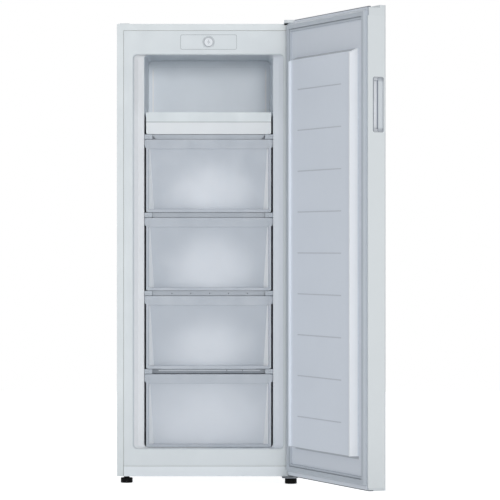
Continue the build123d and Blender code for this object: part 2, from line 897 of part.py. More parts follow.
def front_block(low, high, inset, depth_from, depth_to):
    """The outline of a drawer front between two depths, drawn in by an inset."""
    with BuildPart() as block:
        with BuildSketch(facing(depth_from)):
            with Locations((0, (low + high) / 2)):
                Rectangle(2 * (drawer_half_width - inset), high - low - 2 * inset)
            fillet(vertices().group_by(Axis.Y)[0], drawer_edge_radius - inset)
        extrude(amount=depth_from - depth_to)
    return block.part


def tub_form(low, high, length, inset):
    """The drafted form of a tub with a rounded bottom edge, drawn in by an inset."""
    start = face_back
    slope = tan(radians(tub_draft))
    half = drawer_half_width - tub_clearance
    edge = tub_edge_radius
    floor = low + inset
    sections = []
    for rise, tuck in ((0, edge), (edge / 4, edge / 4), (edge, 0), (high - floor, 0)):
        narrow = (high - floor - rise) * slope + tuck + inset
        sections.append((floor + rise, half - narrow, start + inset, start + length - narrow))
    with BuildPart() as form:
        for z, reach, front, back in sections:
            with BuildSketch(level(z)):
                with Locations((0, (front + back) / 2)):
                    RectangleRounded(2 * reach, back - front, tub_corner_radius - inset)
        loft(ruled=True)
    return form.part


def drawer_tub(low, high, length):
    """An open-topped tub with drafted sides and a rim, behind a drawer front."""
    start = face_back
    outside = tub_form(low, high, length, 0)
    inside = tub_form(low, high, length, drawer_wall)
    rim_reach = drawer_half_width - tub_clearance + tub_rim
    rim_length = length + tub_rim
    with BuildPart() as tub:
        with BuildSketch(level(high - drawer_wall)):
            with Locations((0, start + rim_length / 2)):
                Rectangle(2 * rim_reach, rim_length)
        extrude(amount=drawer_wall)
        add(outside)
        add(inside, mode=Mode.SUBTRACT)
    return tub.part


for number, low in enumerate(level_bottoms[drawer_count - 1 :: -1], start=1):
    high = low + drawer_height
    length = low_drawer_length if number == drawer_count else drawer_length
    pocket_low = low + drawer_rim
    pocket_high = high - drawer_band
    pocket_half = drawer_half_width - drawer_frame
    hollow_block = front_block(low, high, drawer_wall, face + drawer_wall, face_back)
    skin_pocket = face_pocket(pocket_low, pocket_high, pocket_half, drawer_wall)
    open_pocket = face_pocket(pocket_low, pocket_high, pocket_half, 0)
    front_outline = front_block(low, high, 0, face, face_back)
    with BuildPart() as hollow:
        add(hollow_block)
        add(skin_pocket, mode=Mode.SUBTRACT)
    with BuildPart() as drawer_front:
        add(front_outline)
        add(open_pocket, mode=Mode.SUBTRACT)
        add(hollow.part, mode=Mode.SUBTRACT)
        with BuildSketch(facing(face)):
            with Locations((0, high - catch_drop - catch_pitch / 2)):
                with GridLocations(2 * (drawer_half_width - catch_inset), catch_pitch, 2, 2):
                    Rectangle(catch_width, catch_height)
        extrude(amount=-catch_depth, mode=Mode.SUBTRACT)
    write(drawer_front.part, f"drawer_{number}_front")
    tub_part = drawer_tub(low, high - tub_drop, length)
    with BuildPart() as drawer_body:
        add(tub_part)
        if number == drawer_count:
            # skids that carry the lowest drawer on the liner's floor
            skid_height = low - opening_bottom - seat_gap
            with BuildSketch(level(low - skid_height)):
                with Locations((0, face_back + length / 2)):
                    with GridLocations(drawer_half_width, 1, 2, 1):
                        Rectangle(skid_width, length - 2 * skid_margin)
            extrude(amount=skid_height)
    write(drawer_body.part, f"drawer_{number}_tub")

tray_low = level_bottoms[-1]
tray_high = tray_low + tray_height


def tray_wedge(grow):
    """What is cut away in front of the tray's lower band, which leans back."""
    seam = tray_high - tray_band + grow
    with BuildPart() as wedge:
        with BuildSketch(from_side(0)):
            with BuildLine():
                Polyline(
                    (face - 1, seam),
                    (face + tray_step + grow, seam),
                    (face + tray_lean + grow, tray_low - 1),
                    (face - 1, tray_low - 1),
                    close=True,
                )
            make_face()
        extrude(amount=half_width, both=True)
    return wedge.part


tray_outline = front_block(tray_low, tray_high, 0, face, face_back)
tray_hollow = front_block(tray_low, tray_high, drawer_wall, face + drawer_wall, face_back)
tray_cut = tray_wedge(0)
tray_skin_cut = tray_wedge(drawer_wall)
with BuildPart() as tray_space:
    add(tray_hollow)
    add(tray_skin_cut, mode=Mode.SUBTRACT)
with BuildPart() as tray_front:
    add(tray_outline)
    add(tray_cut, mode=Mode.SUBTRACT)
    add(tray_space.part, mode=Mode.SUBTRACT)
write(tray_front.part, "tray_front")
tray_body = drawer_tub(tray_low, tray_high - drawer_wall, drawer_length)
write(tray_body, "tray_tub")

# ---- door, modelled shut and then swung open about its hinge pins ----------------------------
hinge_line = Axis((hinge_x, hinge_y, 0), (0, 0, 1))


def write_on_door(piece, name):
    """Swings a door piece open, as the whole door stands, and writes it."""
    write(piece.rotate(hinge_line, door_open_angle), name)


def door_plan(inset):
    """The door's outline from above: square at the rear, rounded at the front."""
    middle = (door_front + door_rear) / 2
    with Locations((0, middle)):
        Rectangle(2 * (half_width - inset), door_rear - door_front - 2 * inset)
    fillet(vertices().group_by(Axis.Y)[0], door_front_radius - inset)


def door_block(inset, low, high):
    """The door's body between two heights, drawn in by an inset."""
    with BuildPart() as block:
        with BuildSketch(level(low)):
            door_plan(inset)
        extrude(amount=high - low)
    return block.part


handle_plane = Plane(
    origin=(-half_width, handle_middle_y, handle_middle_z), x_dir=(0, 1, 0), z_dir=(-1, 0, 0)
)
pocket_rear = handle_middle_y + handle_width / 2 - handle_rim - handle_deep_offset
ramp_start = pocket_rear - handle_deep_width


def handle_form(grow):
    """The hollow of the handle cup: a shallow dish with a ramp into the finger pocket."""
    pocket_height = handle_height - 2 * handle_pocket_margin
    ramp_slope = (handle_deep - handle_ramp) / (handle_deep_width - handle_floor_width)
    with BuildPart() as form:
        with BuildSketch(handle_plane):
            RectangleRounded(
                handle_width - 2 * handle_rim + 2 * grow,
                handle_height - 2 * handle_rim + 2 * grow,
                handle_corner - handle_rim + grow,
            )
        extrude(amount=-(handle_shallow + grow))
        with BuildSketch(level(handle_middle_z - pocket_height / 2 - grow)):
            with BuildLine():
                Polyline(
                    (-half_width, pocket_rear + grow),
                    (handle_deep + grow - half_width, pocket_rear + grow),
                    (handle_deep + grow - half_width, pocket_rear - handle_floor_width),
                    (handle_ramp + grow * (1 - ramp_slope) - half_width, ramp_start - grow),
                    (-half_width, ramp_start - grow),
                    close=True,
                )
            make_face()
        extrude(amount=pocket_height + 2 * grow)
    return form.part


handle_hollow = handle_form(0)
handle_outside = handle_form(handle_shell)
with BuildPart() as handle_cup:
    add(handle_outside)
    with BuildSketch(handle_plane):
        RectangleRounded(handle_width, handle_height, handle_corner)
    extrude(amount=handle_shell / 2)
    add(handle_hollow, mode=Mode.SUBTRACT)
    with BuildSketch(handle_plane):
        RectangleRounded(
            handle_width - 2 * handle_rim, handle_height - 2 * handle_rim, handle_corner - handle_rim
        )
    extrude(amount=handle_shell / 2, mode=Mode.SUBTRACT)
write_on_door(handle_cup.part, "handle_cup")

# the groove beside the inner panel, along both upright edges
channel_out = half_width - edge_hem
channel_in = half_width - panel_side


def edge_zone(grow, out):
    """The space along both upright edges of the door, from the inner panel's side outwards."""
    near = channel_in - grow
    with BuildPart() as zone:
        with BuildSketch(level(base_seam - cap_skirt)):
            with Locations((0, door_inner - channel_depth - grow + far / 2)):
                with GridLocations(near + out, 1, 2, 1):
                    Rectangle(out - near, far)
        extrude(amount=cap_seam - base_seam + 2 * cap_skirt)
    return zone.part


def edge_strip(side):
    """The folded edge that stands up beside a groove, rounded on its outside."""
    with BuildPart() as strip:
        with BuildSketch(level(base_seam)):
            with Locations((side * (half_width - edge_hem / 2), door_inner - channel_depth / 2)):
                Rectangle(edge_hem, channel_depth)
            fillet(vertices().sort_by(Axis.Y)[-2:].sort_by(Axis.X)[-1 if side > 0 else 0], edge_round)
        extrude(amount=cap_seam - base_seam)
    return strip.part


skin_outside = door_block(0, base_seam, cap_seam)
skin_inside = door_block(door_sheet, base_seam, cap_seam)
left_edge = edge_strip(-1)
right_edge = edge_strip(1)
channels = edge_zone(0, channel_out)
edge_sheet = edge_zone(door_sheet, far)
edge_clear = edge_zone(door_sheet + cap_clearance, far)
with BuildPart() as skin_hollow:
    add(skin_inside)
    add(edge_sheet, mode=Mode.SUBTRACT)
with BuildPart() as door_skin:
    add(skin_outside)
    add(left_edge)
    add(right_edge)
    add(channels, mode=Mode.SUBTRACT)
    add(skin_hollow.part, mode=Mode.SUBTRACT)
    with BuildSketch(level(base_seam)):
        with Locations((0, door_rear)):
            Rectangle(2 * (half_width - door_lip), 4 * door_sheet)
    extrude(amount=cap_seam - base_seam, mode=Mode.SUBTRACT)
    add(handle_outside, mode=Mode.SUBTRACT)
write_on_door(door_skin.part, "door_skin")

# the inner panel: a plateau that enters the opening, with an upright dike along each side


def plateau_form(inset, base):
    """The raised middle of the inner panel, with a valley cut between its two dikes."""
    crest = door_inner + dike_height - inset
    valley = door_inner + plateau_height - inset
    valley_top = plateau_half_width - dike_run - dike_crest + inset
    with BuildPart() as form:
        for y, run, base_run, top_run in (
            (base, 0, 0, 0),
            (crest, dike_run, plateau_base_run, plateau_top_run),
        ):
            low = plateau_bottom + base_run + inset
            high = plateau_top - top_run - inset
            with BuildSketch(facing(y)):
                with Locations((0, (low + high) / 2)):
                    RectangleRounded(
                        2 * (plateau_half_width - run - inset), high - low, plateau_radius - inset
                    )
        loft(ruled=True)
        with BuildSketch(level(0)):
            with BuildLine():
                Polyline(
                    (-valley_top, crest),
                    (valley_run - valley_top, valley),
                    (valley_top - valley_run, valley),
                    (valley_top, crest),
                    (valley_top, far),
                    (-valley_top, far),
                    close=True,
                )
            make_face()
        extrude(amount=2 * door_top, mode=Mode.SUBTRACT)
    return form.part


pocket_left = hinge_x - pocket_reach
pocket_front = door_front + pocket_margin
pocket_floor = bracket_z - bracket_gap


def hinge_pocket(grow):
    """The corner of the door that is left free for the hinge bracket."""
    return slab(
        (pocket_left - grow, far), (pocket_front - grow, far), (pocket_floor - grow, 2 * door_top)
    )


open_corner = hinge_pocket(0)
corner_wall = hinge_pocket(cap_wall)
plateau_outside = plateau_form(0, door_rear)
plateau_inside = plateau_form(door_liner_wall, door_rear)
panel_low = door_bottom + panel_margin
panel_high = door_top - panel_margin
with BuildPart() as door_liner:
    with BuildSketch(facing(door_rear)):
        with Locations((0, (panel_low + panel_high) / 2)):
            RectangleRounded(2 * (half_width - panel_side), panel_high - panel_low, panel_margin)
    extrude(amount=-door_liner_wall)
    add(plateau_outside)
    add(plateau_inside, mode=Mode.SUBTRACT)
    # the row of pressed lines across the panel
    with BuildSketch(facing(plateau_face - emboss_depth)):
        with Locations(*[
            ((emboss_left + emboss_right) / 2, emboss_first - row * emboss_pitch)
            for row in range(emboss_count)
        ]):
            SlotOverall(emboss_right - emboss_left, emboss_width)
    extrude(amount=-emboss_depth, mode=Mode.SUBTRACT)
    add(open_corner, mode=Mode.SUBTRACT)
write_on_door(door_liner.part, "door_liner")

# ---- gasket: a ring with a bevelled outer edge and magnet strips inside ----------------------
seal_low = door_bottom + gasket_base_margin
seal_high = door_top - gasket_margin
seal_half = half_width - gasket_margin
seal_face = -gasket_gap
seal_middle = (seal_low + seal_high) / 2
seal_height = seal_high - seal_low
seal_shoulder = seal_face - gasket_bevel


def seal_form(sections):
    """Joins rectangles given as (y, inset from the gasket's outer edge)."""
    with BuildPart() as form:
        for y, inset in sections:
            with BuildSketch(facing(y)):
                with Locations((0, seal_middle)):
                    RectangleRounded(2 * (seal_half - inset), seal_height - 2 * inset, gasket_corner)
        loft(ruled=True)
    return form.part


seal_outside = seal_form(((door_inner, 0), (seal_shoulder, 0), (seal_face, gasket_bevel)))
seal_hole = seal_form(((door_inner, gasket_width), (seal_face, gasket_width)))
inner_lip_face = door_inner + gasket_inner_height
above_inner_lip = seal_form(((inner_lip_face, gasket_lip), (seal_face, gasket_lip)))
groove_outside = seal_form(
    ((door_inner + gasket_groove_floor, gasket_lip), (inner_lip_face, gasket_lip))
)
groove_inside = seal_form(
    (
        (door_inner + gasket_groove_floor, gasket_lip + gasket_groove),
        (inner_lip_face, gasket_lip + gasket_groove),
    )
)
with BuildPart() as seal_groove:
    add(groove_outside)
    add(groove_inside, mode=Mode.SUBTRACT)
magnet_inset = (gasket_bevel + gasket_lip) / 2
magnet_front = seal_face - magnet_cover - magnet_thickness
magnet_x = seal_half - magnet_inset
magnet_z = seal_height / 2 - magnet_inset
with BuildPart() as gasket_magnets:
    with BuildSketch(facing(magnet_front)):
        with Locations((0, seal_middle)):
            with GridLocations(2 * magnet_x, 1, 2, 1):
                Rectangle(magnet_width, 2 * magnet_z - magnet_end)
            with GridLocations(1, 2 * magnet_z, 1, 2):
                Rectangle(2 * magnet_x - magnet_end, magnet_width)
    extrude(amount=-magnet_thickness)
with BuildPart() as door_gasket:
    add(seal_outside)
    add(seal_hole, mode=Mode.SUBTRACT)
    add(above_inner_lip, mode=Mode.SUBTRACT)
    add(seal_groove.part, mode=Mode.SUBTRACT)
    add(gasket_magnets.part, mode=Mode.SUBTRACT)
write_on_door(door_gasket.part, "door_gasket")
write_on_door(gasket_magnets.part, "gasket_magnets")

# ---- end caps of the door ---------------------------------------------------------------------
lip_back = door_front + cap_lip_depth
cap_block = door_block(0, cap_seam, door_top + cap_front_lip)
cap_hollow = door_block(cap_wall, cap_seam, door_top - cap_valley - cap_wall)
skirt_outside = door_block(door_sheet + cap_clearance, cap_seam - cap_skirt, cap_seam)
skirt_inside = door_block(cap_wall, cap_seam - cap_skirt, cap_seam)
bush_radius = pin_radius + pin_clearance + bush_wall
boss_radius = bush_radius + cap_wall
with BuildPart() as skirt_ring:
    add(skirt_outside)
    add(skirt_inside, mode=Mode.SUBTRACT)
    add(edge_clear, mode=Mode.SUBTRACT)
with BuildPart() as cap_space:
    add(cap_hollow)
    add(corner_wall, mode=Mode.SUBTRACT)
with BuildPart() as door_top_cap:
    add(cap_block)
    with BuildSketch(level(door_top)):
        with Locations((0, lip_back + far / 2)):
            Rectangle(2 * far, far)
    extrude(amount=cap_front_lip, mode=Mode.SUBTRACT)
    with BuildSketch(level(door_top - cap_valley)):
        with Locations((0, (lip_back + door_rear - cap_rear_rim) / 2)):
            Rectangle(2 * far, door_rear - cap_rear_rim - lip_back)
    extrude(amount=cap_valley, mode=Mode.SUBTRACT)
    add(open_corner, mode=Mode.SUBTRACT)
    add(cap_space.part, mode=Mode.SUBTRACT)
    add(skirt_ring.part)
    with BuildSketch(level(pocket_floor - bush_length)):
        with Locations((hinge_x, hinge_y)):
            Circle(boss_radius)
    extrude(amount=bush_length)
    with BuildSketch(level(pocket_floor - bush_length)):
        with Locations((hinge_x, hinge_y)):
            Circle(bush_radius)
    extrude(amount=bush_length, mode=Mode.SUBTRACT)
write_on_door(door_top_cap.part, "door_top_cap")

base_block = door_block(0, door_bottom, base_seam)
base_hollow = door_block(cap_wall, door_bottom + cap_wall, base_seam)
base_skirt_outside = door_block(door_sheet + cap_clearance, base_seam, base_seam + cap_skirt)
base_skirt_inside = door_block(cap_wall, base_seam, base_seam + cap_skirt)
with BuildPart() as base_skirt:
    add(base_skirt_outside)
    add(base_skirt_inside, mode=Mode.SUBTRACT)
    add(edge_clear, mode=Mode.SUBTRACT)
with BuildPart() as door_bottom_cap:
    add(base_block)
    add(base_hollow, mode=Mode.SUBTRACT)
    add(base_skirt.part)
    with BuildSketch(level(door_bottom)):
        with Locations((hinge_x, hinge_y)):
            Circle(boss_radius)
    extrude(amount=bush_length)
    with BuildSketch(level(door_bottom)):
        with Locations((hinge_x, hinge_y)):
            Circle(bush_radius)
    extrude(amount=bush_length, mode=Mode.SUBTRACT)
    with BuildSketch(level(door_bottom)):
        with Locations((drain_inset - half_width, door_rear - drain_setback)):
            SlotOverall(drain_slot, drain_width)
    extrude(amount=cap_wall, mode=Mode.SUBTRACT)
write_on_door(door_bottom_cap.part, "door_bottom_cap")

for name, low in (("top_hinge_bush", pocket_floor - bush_length), ("bottom_hinge_bush", door_bottom)):
    with BuildPart() as hinge_bush:
        with BuildSketch(level(low)):
            with Locations((hinge_x, hinge_y)):
                Circle(bush_radius)
                Circle(pin_radius + pin_clearance, mode=Mode.SUBTRACT)
        extrude(amount=bush_length)
    write_on_door(hinge_bush.part, name)

# ---- foam in the door ---------------------------------------------------------------------------
foam_low = base_seam + cap_skirt
foam_high = cap_seam - cap_skirt
door_core = door_block(door_sheet, foam_low, foam_high)
behind_foam = slab((-far, far), (door_rear - door_sheet, far), (foam_low, foam_high))
with BuildPart() as door_foam:
    add(door_core)
    add(edge_sheet, mode=Mode.SUBTRACT)
    add(behind_foam, mode=Mode.SUBTRACT)
    with BuildSketch(facing(door_rear - door_sheet)):
        with Locations((0, (foam_low + foam_high) / 2)):
            Rectangle(2 * (half_width - door_lip), foam_high - foam_low)
    extrude(amount=-door_sheet)
    add(plateau_inside)
    add(handle_outside, mode=Mode.SUBTRACT)
write_on_door(door_foam.part, "door_foam")

# ---- hinges ---------------------------------------------------------------------------------------
bracket_top = bracket_z + bracket_thickness
with BuildPart() as top_hinge_bracket:
    with BuildSketch(level(bracket_z)):
        with Locations(((bracket_left + bracket_right) / 2, (bracket_front + bracket_back) / 2)):
            RectangleRounded(bracket_right - bracket_left, bracket_back - bracket_front, bracket_corner)
        with Locations((hinge_x, hinge_y)):
            Circle(pin_radius, mode=Mode.SUBTRACT)
        with Locations(*hinge_screw_places):
            Circle(screw_radius + pin_clearance, mode=Mode.SUBTRACT)
    extrude(amount=bracket_thickness)
write(top_hinge_bracket.part, "top_hinge_bracket")

pin_low = pocket_floor - bush_length - pin_tail
with BuildPart() as top_hinge_pin:
    with BuildSketch(level(pin_low)):
        with Locations((hinge_x, hinge_y)):
            Circle(pin_radius)
    extrude(amount=bracket_top - pin_low)
    with BuildSketch(level(bracket_top)):
        with Locations((hinge_x, hinge_y)):
            Circle(pin_radius + pin_head)
    extrude(amount=screw_head_height)
write(top_hinge_pin.part, "top_hinge_pin")

with BuildPart() as top_hinge_screws:
    with BuildSketch(level(bracket_top - screw_length)):
        with Locations(*hinge_screw_places):
            Circle(screw_radius)
    extrude(amount=screw_length)
    with BuildSketch(level(bracket_top)):
        with Locations(*hinge_screw_places):
            Circle(screw_head_radius)
    extrude(amount=screw_head_height)
    fillet(edges().filter_by(GeomType.CIRCLE).group_by(Axis.Z)[-1], 1.0)
write(top_hinge_screws.part, "top_hinge_screws")

plate_low = cabinet_top - casing_sheet - plate_thickness
plate_front = front_hem_depth + casing_sheet
with BuildPart() as hinge_plate:
    with BuildSketch(level(plate_low)):
        with Locations(((bracket_left + bracket_right) / 2, (plate_front + bracket_back) / 2)):
            Rectangle(bracket_right - bracket_left, bracket_back - plate_front)
        with Locations(*hinge_screw_places):
            Circle(screw_radius + pin_clearance, mode=Mode.SUBTRACT)
    extrude(amount=plate_thickness)
write(hinge_plate.part, "hinge_plate")

cover_left = bracket_left - cover_margin
cover_front = bracket_front - cover_margin
cover_back = bracket_back + cover_tail
cover_right = bracket_right + cover_margin
cover_x = (cover_left + cover_right) / 2


def cover_form(inset, low, high):
    """The hinge cover's body: a low box with a round front, drawn in by an inset."""
    depth = cover_back - cover_front
    with BuildPart() as form:
        with BuildSketch(level(low)):
            with Locations((cover_x, (cover_front + cover_back) / 2)):
                Rectangle(cover_right - cover_left - 2 * inset, depth - 2 * inset)
            fillet(vertices().group_by(Axis.Y)[0], cover_radius - inset)
            fillet(vertices().group_by(Axis.Y)[-1], cover_radius / 2 - inset)
        extrude(amount=high - low)
    return form.part


cover_outside = cover_form(0, bracket_z, bracket_z + cover_rise)
cover_inside = cover_form(cover_wall, bracket_z, bracket_z + cover_rise - cover_wall)
with BuildPart() as hinge_cover:
    add(cover_outside)
    fillet(edges().group_by(Axis.Z)[-1], cover_edge)
    add(cover_inside, mode=Mode.SUBTRACT)
write(hinge_cover.part, "hinge_cover")

with BuildPart() as hinge_blank_cap:
    with BuildSketch(level(cabinet_top)):
        with Locations((blank_x, blank_y)):
            RectangleRounded(blank_width, blank_length, blank_corner)
    extrude(amount=blank_height)
    fillet(edges().group_by(Axis.Z)[-1], 0.6)
    with BuildSketch(level(cabinet_top)):
        with Locations((blank_x, blank_y)):
            Circle(peg_radius)
    extrude(amount=-peg_length)
write(hinge_blank_cap.part, "hinge_blank_cap")

with BuildPart() as bottom_hinge_bracket:
    with BuildSketch(level(low_bracket_z)):
        with Locations(
            ((low_bracket_left + bracket_right) / 2, (bracket_front + low_bracket_back) / 2)
        ):
            Rectangle(bracket_right - low_bracket_left, low_bracket_back - bracket_front)
        fillet(vertices().group_by(Axis.Y)[0], low_bracket_corner)
        with Locations((hinge_x, hinge_y)):
            Circle(pin_radius, mode=Mode.SUBTRACT)
        with Locations((foot_x, right_foot_y)):
            Circle(foot_stud_radius + pin_clearance, mode=Mode.SUBTRACT)
        with Locations(*low_bolt_places):
            Circle(low_bolt_radius + pin_clearance, mode=Mode.SUBTRACT)
    extrude(amount=bracket_thickness)
write(bottom_hinge_bracket.part, "bottom_hinge_bracket")

collar_radius = pin_radius + collar_width
with BuildPart() as bottom_hinge_pin:
    with BuildSketch(level(low_bracket_z)):
        with Locations((hinge_x, hinge_y)):
            Circle(pin_radius)
    extrude(amount=door_bottom + bush_length - low_bracket_z)
    with BuildSketch(level(cabinet_bottom)):
        with Locations((hinge_x, hinge_y)):
            Circle(collar_radius)
    extrude(amount=door_bottom - collar_gap - cabinet_bottom)
write(bottom_hinge_pin.part, "bottom_hinge_pin")

with BuildPart() as bottom_hinge_bolts:
    with BuildSketch(level(low_bracket_z - low_bolt_head_height)):
        with Locations(*low_bolt_places):
            RegularPolygon(low_bolt_head_radius, 6)
    extrude(amount=low_bolt_head_height)
    with BuildSketch(level(low_bracket_z)):
        with Locations(*low_bolt_places):
            Circle(low_bolt_radius)
    extrude(amount=low_bolt_length)
write(bottom_hinge_bolts.part, "bottom_hinge_bolts")

# ---- feet -----------------------------------------------------------------------------------------
foot_tops = (cabinet_bottom - foot_clearance, low_bracket_z - foot_clearance)
foot_names = ("front_left_foot", "front_right_foot")
for name, place, neck_top in zip(foot_names, foot_places, foot_tops):
    with BuildPart() as levelling_foot:
        with BuildSketch(level(0)):
            with Locations(place):
                Circle(foot_radius)
        extrude(amount=foot_pad_height)
        pad_rims = edges().filter_by(GeomType.CIRCLE)
        chamfer(pad_rims, foot_pad_chamfer)
        with BuildSketch(level(foot_pad_height)):
            with Locations(place):
                Circle(foot_neck_radius)
        extrude(amount=neck_top - foot_pad_height)
        with BuildSketch(level(foot_pad_height)):
            with Locations(place):
                Circle(foot_stud_radius)
        extrude(amount=foot_stud_top - foot_pad_height)
    write(levelling_foot.part, name)

with BuildPart() as foot_nuts:
    with BuildSketch(level(pan_top)):
        with Locations(*foot_places):
            RegularPolygon(nut_width / 2, 6, major_radius=False)
        with Locations(*foot_places):
            Circle(foot_stud_radius + pin_clearance, mode=Mode.SUBTRACT)
    extrude(amount=nut_height)
write(foot_nuts.part, "foot_nuts")

with BuildPart() as rear_feet:
    with BuildSketch(level(0)):
        with Locations((-rear_foot_x, rear_foot_y), (rear_foot_x, rear_foot_y)):
            Circle(rear_foot_radius)
    extrude(amount=cabinet_bottom)
    chamfer(edges().group_by(Axis.Z)[0], rear_foot_chamfer)
write(rear_feet.part, "rear_feet")

# ---- machine room -----------------------------------------------------------------------------------
rail_top = cabinet_bottom + rail_sheet
grommet_places = [
    (compressor_x + side_x * grommet_spacing_x / 2, rail_y + side_y * grommet_spacing_y / 2)
    for side_x in (-1, 1)
    for side_y in (-1, 1)
]
with BuildPart() as compressor_rail:
    with BuildSketch(level(cabinet_bottom)):
        with Locations((0, rail_y)):
            Rectangle(2 * inside_half, rail_width)
        with Locations(*grommet_places):
            Circle(mount_bolt_radius + pin_clearance, mode=Mode.SUBTRACT)
    extrude(amount=rail_sheet)
    with BuildSketch(level(cabinet_bottom)):
        with Locations((0, rail_y)):
            with GridLocations(1, rail_width - rail_sheet, 1, 2):
                Rectangle(2 * inside_half, rail_sheet)
    extrude(amount=rail_flange)
write(compressor_rail.part, "compressor_rail")

plate_z = rail_top + grommet_height
plate_top = plate_z + rail_sheet
shell_top = plate_z + compressor_height
shell_seam = plate_z + compressor_height * 0.55
shell_wall = compressor_radius - shell_step
with BuildPart() as compressor:
    with BuildSketch(Plane(origin=(compressor_x, rail_y, 0), x_dir=(1, 0, 0), z_dir=(0, -1, 0))):
        with BuildLine():
            Polyline(
                (0, plate_z),
                (shell_wall - shell_foot / 2, plate_z),
                (shell_wall, plate_z + shell_foot),
                (shell_wall, shell_seam),
                (compressor_radius, shell_seam),
                (compressor_radius, shell_seam + shell_seam_height),
                (shell_wall, shell_seam + shell_seam_height),
                (shell_wall, shell_top - shell_crown),
                (shell_wall - shell_crown / 4, shell_top - shell_crown / 2.4),
                (shell_wall - shell_crown * 0.85, shell_top - shell_crown / 11),
                (0, shell_top),
                close=True,
            )
        make_face()
    revolve(axis=Axis((compressor_x, rail_y, 0), (0, 0, 1)))
    with BuildSketch(level(plate_z)):
        with Locations((compressor_x, rail_y)):
            RectangleRounded(plate_width, plate_depth, plate_corner)
        with Locations(*grommet_places):
            Circle(grommet_neck_radius, mode=Mode.SUBTRACT)
    extrude(amount=rail_sheet)
write(compressor.part, "compressor")

with BuildPart() as compressor_grommets:
    with BuildSketch(level(rail_top)):
        with Locations(*grommet_places):
            Circle(grommet_radius)
    extrude(amount=grommet_height)
    with BuildSketch(level(plate_z)):
        with Locations(*grommet_places):
            Circle(grommet_neck_radius)
    extrude(amount=rail_sheet)
    with BuildSketch(level(plate_top)):
        with Locations(*grommet_places):
            Circle(grommet_radius - grommet_step)
    extrude(amount=grommet_flange)
    with BuildSketch(level(rail_top)):
        with Locations(*grommet_places):
            Circle(mount_bolt_radius + pin_clearance)
    extrude(amount=grommet_height + rail_sheet + grommet_flange, mode=Mode.SUBTRACT)
write(compressor_grommets.part, "compressor_grommets")

grommet_top = plate_top + grommet_flange
with BuildPart() as compressor_bolts:
    with BuildSketch(level(cabinet_bottom - mount_head_height)):
        with Locations(*grommet_places):
            RegularPolygon(mount_head_radius, 6)
    extrude(amount=mount_head_height)
    with BuildSketch(level(cabinet_bottom)):
        with Locations(*grommet_places):
            Circle(mount_bolt_radius)
    extrude(amount=grommet_top + mount_head_height + mount_bolt_end - cabinet_bottom)
    with BuildSketch(level(grommet_top)):
        with Locations(*grommet_places):
            RegularPolygon(mount_head_radius, 6)
    extrude(amount=mount_head_height)
write(compressor_bolts.part, "compressor_bolts")

cover_out = compressor_x - compressor_radius - terminal_depth
terminal_z = plate_z + terminal_rise
inlet_x = cover_out + inlet_setback
with BuildPart() as terminal_cover:
    with BuildSketch(level(terminal_z)):
        with Locations(((cover_out + compressor_x) / 2, rail_y)):
            Rectangle(compressor_x - cover_out, terminal_width)
        with Locations((compressor_x, rail_y)):
            Circle(shell_wall, mode=Mode.SUBTRACT)
    extrude(amount=terminal_height)
    fillet(edges().filter_by(Axis.Z).group_by(Axis.X)[0], terminal_corner)
    with BuildSketch(level(terminal_z)):
        with Locations((inlet_x, rail_y)):
            Circle(inlet_radius + inlet_wall)
    extrude(amount=-inlet_length)
    with BuildSketch(level(terminal_z - inlet_length)):
        with Locations((inlet_x, rail_y)):
            Circle(inlet_radius)
    extrude(amount=inlet_length + inlet_hole, mode=Mode.SUBTRACT)
write(terminal_cover.part, "terminal_cover")


def pipe(points, radius, bend):
    """A round tube along straight runs with bends between them."""
    with BuildPart() as tube:
        with BuildLine() as path:
            FilletPolyline(*points, radius=bend)
        route = path.wires()[0]
        with BuildSketch(Plane(origin=route @ 0, z_dir=route % 0)):
            Circle(radius)
        sweep(path=route)
    return tube.part


discharge_x = compressor_x + shell_wall + discharge_out
discharge_z = plate_z + discharge_rise
discharge_route = (
    (compressor_x + shell_wall, rail_y, discharge_z),
    (discharge_x, rail_y, discharge_z),
    (discharge_x, rail_y - discharge_lead, discharge_z),
    (discharge_x, rail_y - discharge_lead, machine_top),
)
write(pipe(discharge_route, discharge_radius, pipe_bend), "discharge_pipe")
suction_y = back_inside - suction_gap - suction_radius
suction_z = plate_z + suction_rise
suction_route = (
    (compressor_x, rail_y + shell_wall, suction_z),
    (compressor_x, suction_y, suction_z),
    (compressor_x - suction_run, suction_y, suction_z),
    (compressor_x - suction_run, suction_y, machine_top),
)
write(pipe(suction_route, suction_radius, pipe_bend), "suction_pipe")

drier_x = compressor_x - drier_shift
drier_low = cabinet_bottom + drier_rise
drier_high = drier_low + drier_length
drier_tip = drier_low - drier_taper
capillary_low = drier_tip - capillary_tail
with BuildPart() as filter_drier:
    with BuildSketch(Plane(origin=(drier_x, rail_y, 0), x_dir=(1, 0, 0), z_dir=(0, -1, 0))):
        with BuildLine():
            Polyline(
                (0, machine_top),
                (discharge_radius, machine_top),
                (discharge_radius, drier_high + drier_taper),
                (drier_radius, drier_high),
                (drier_radius, drier_low),
                (capillary_radius, drier_tip),
                (0, drier_tip),
                close=True,
            )
        make_face()
    revolve(axis=Axis((drier_x, rail_y, 0), (0, 0, 1)))
    with BuildLine() as capillary:
        FilletPolyline(
            (drier_x, rail_y, drier_tip + capillary_radius),
            (drier_x, rail_y, capillary_low),
            (drier_x - capillary_run, rail_y, capillary_low),
            (drier_x - capillary_run, rail_y, machine_top),
            radius=pipe_bend,
        )
    capillary_line = capillary.wires()[0]
    with BuildSketch(Plane(origin=capillary_line @ 0, z_dir=capillary_line % 0)):
        Circle(capillary_radius)
    sweep(path=capillary_line)
write(filter_drier.part, "filter_drier")

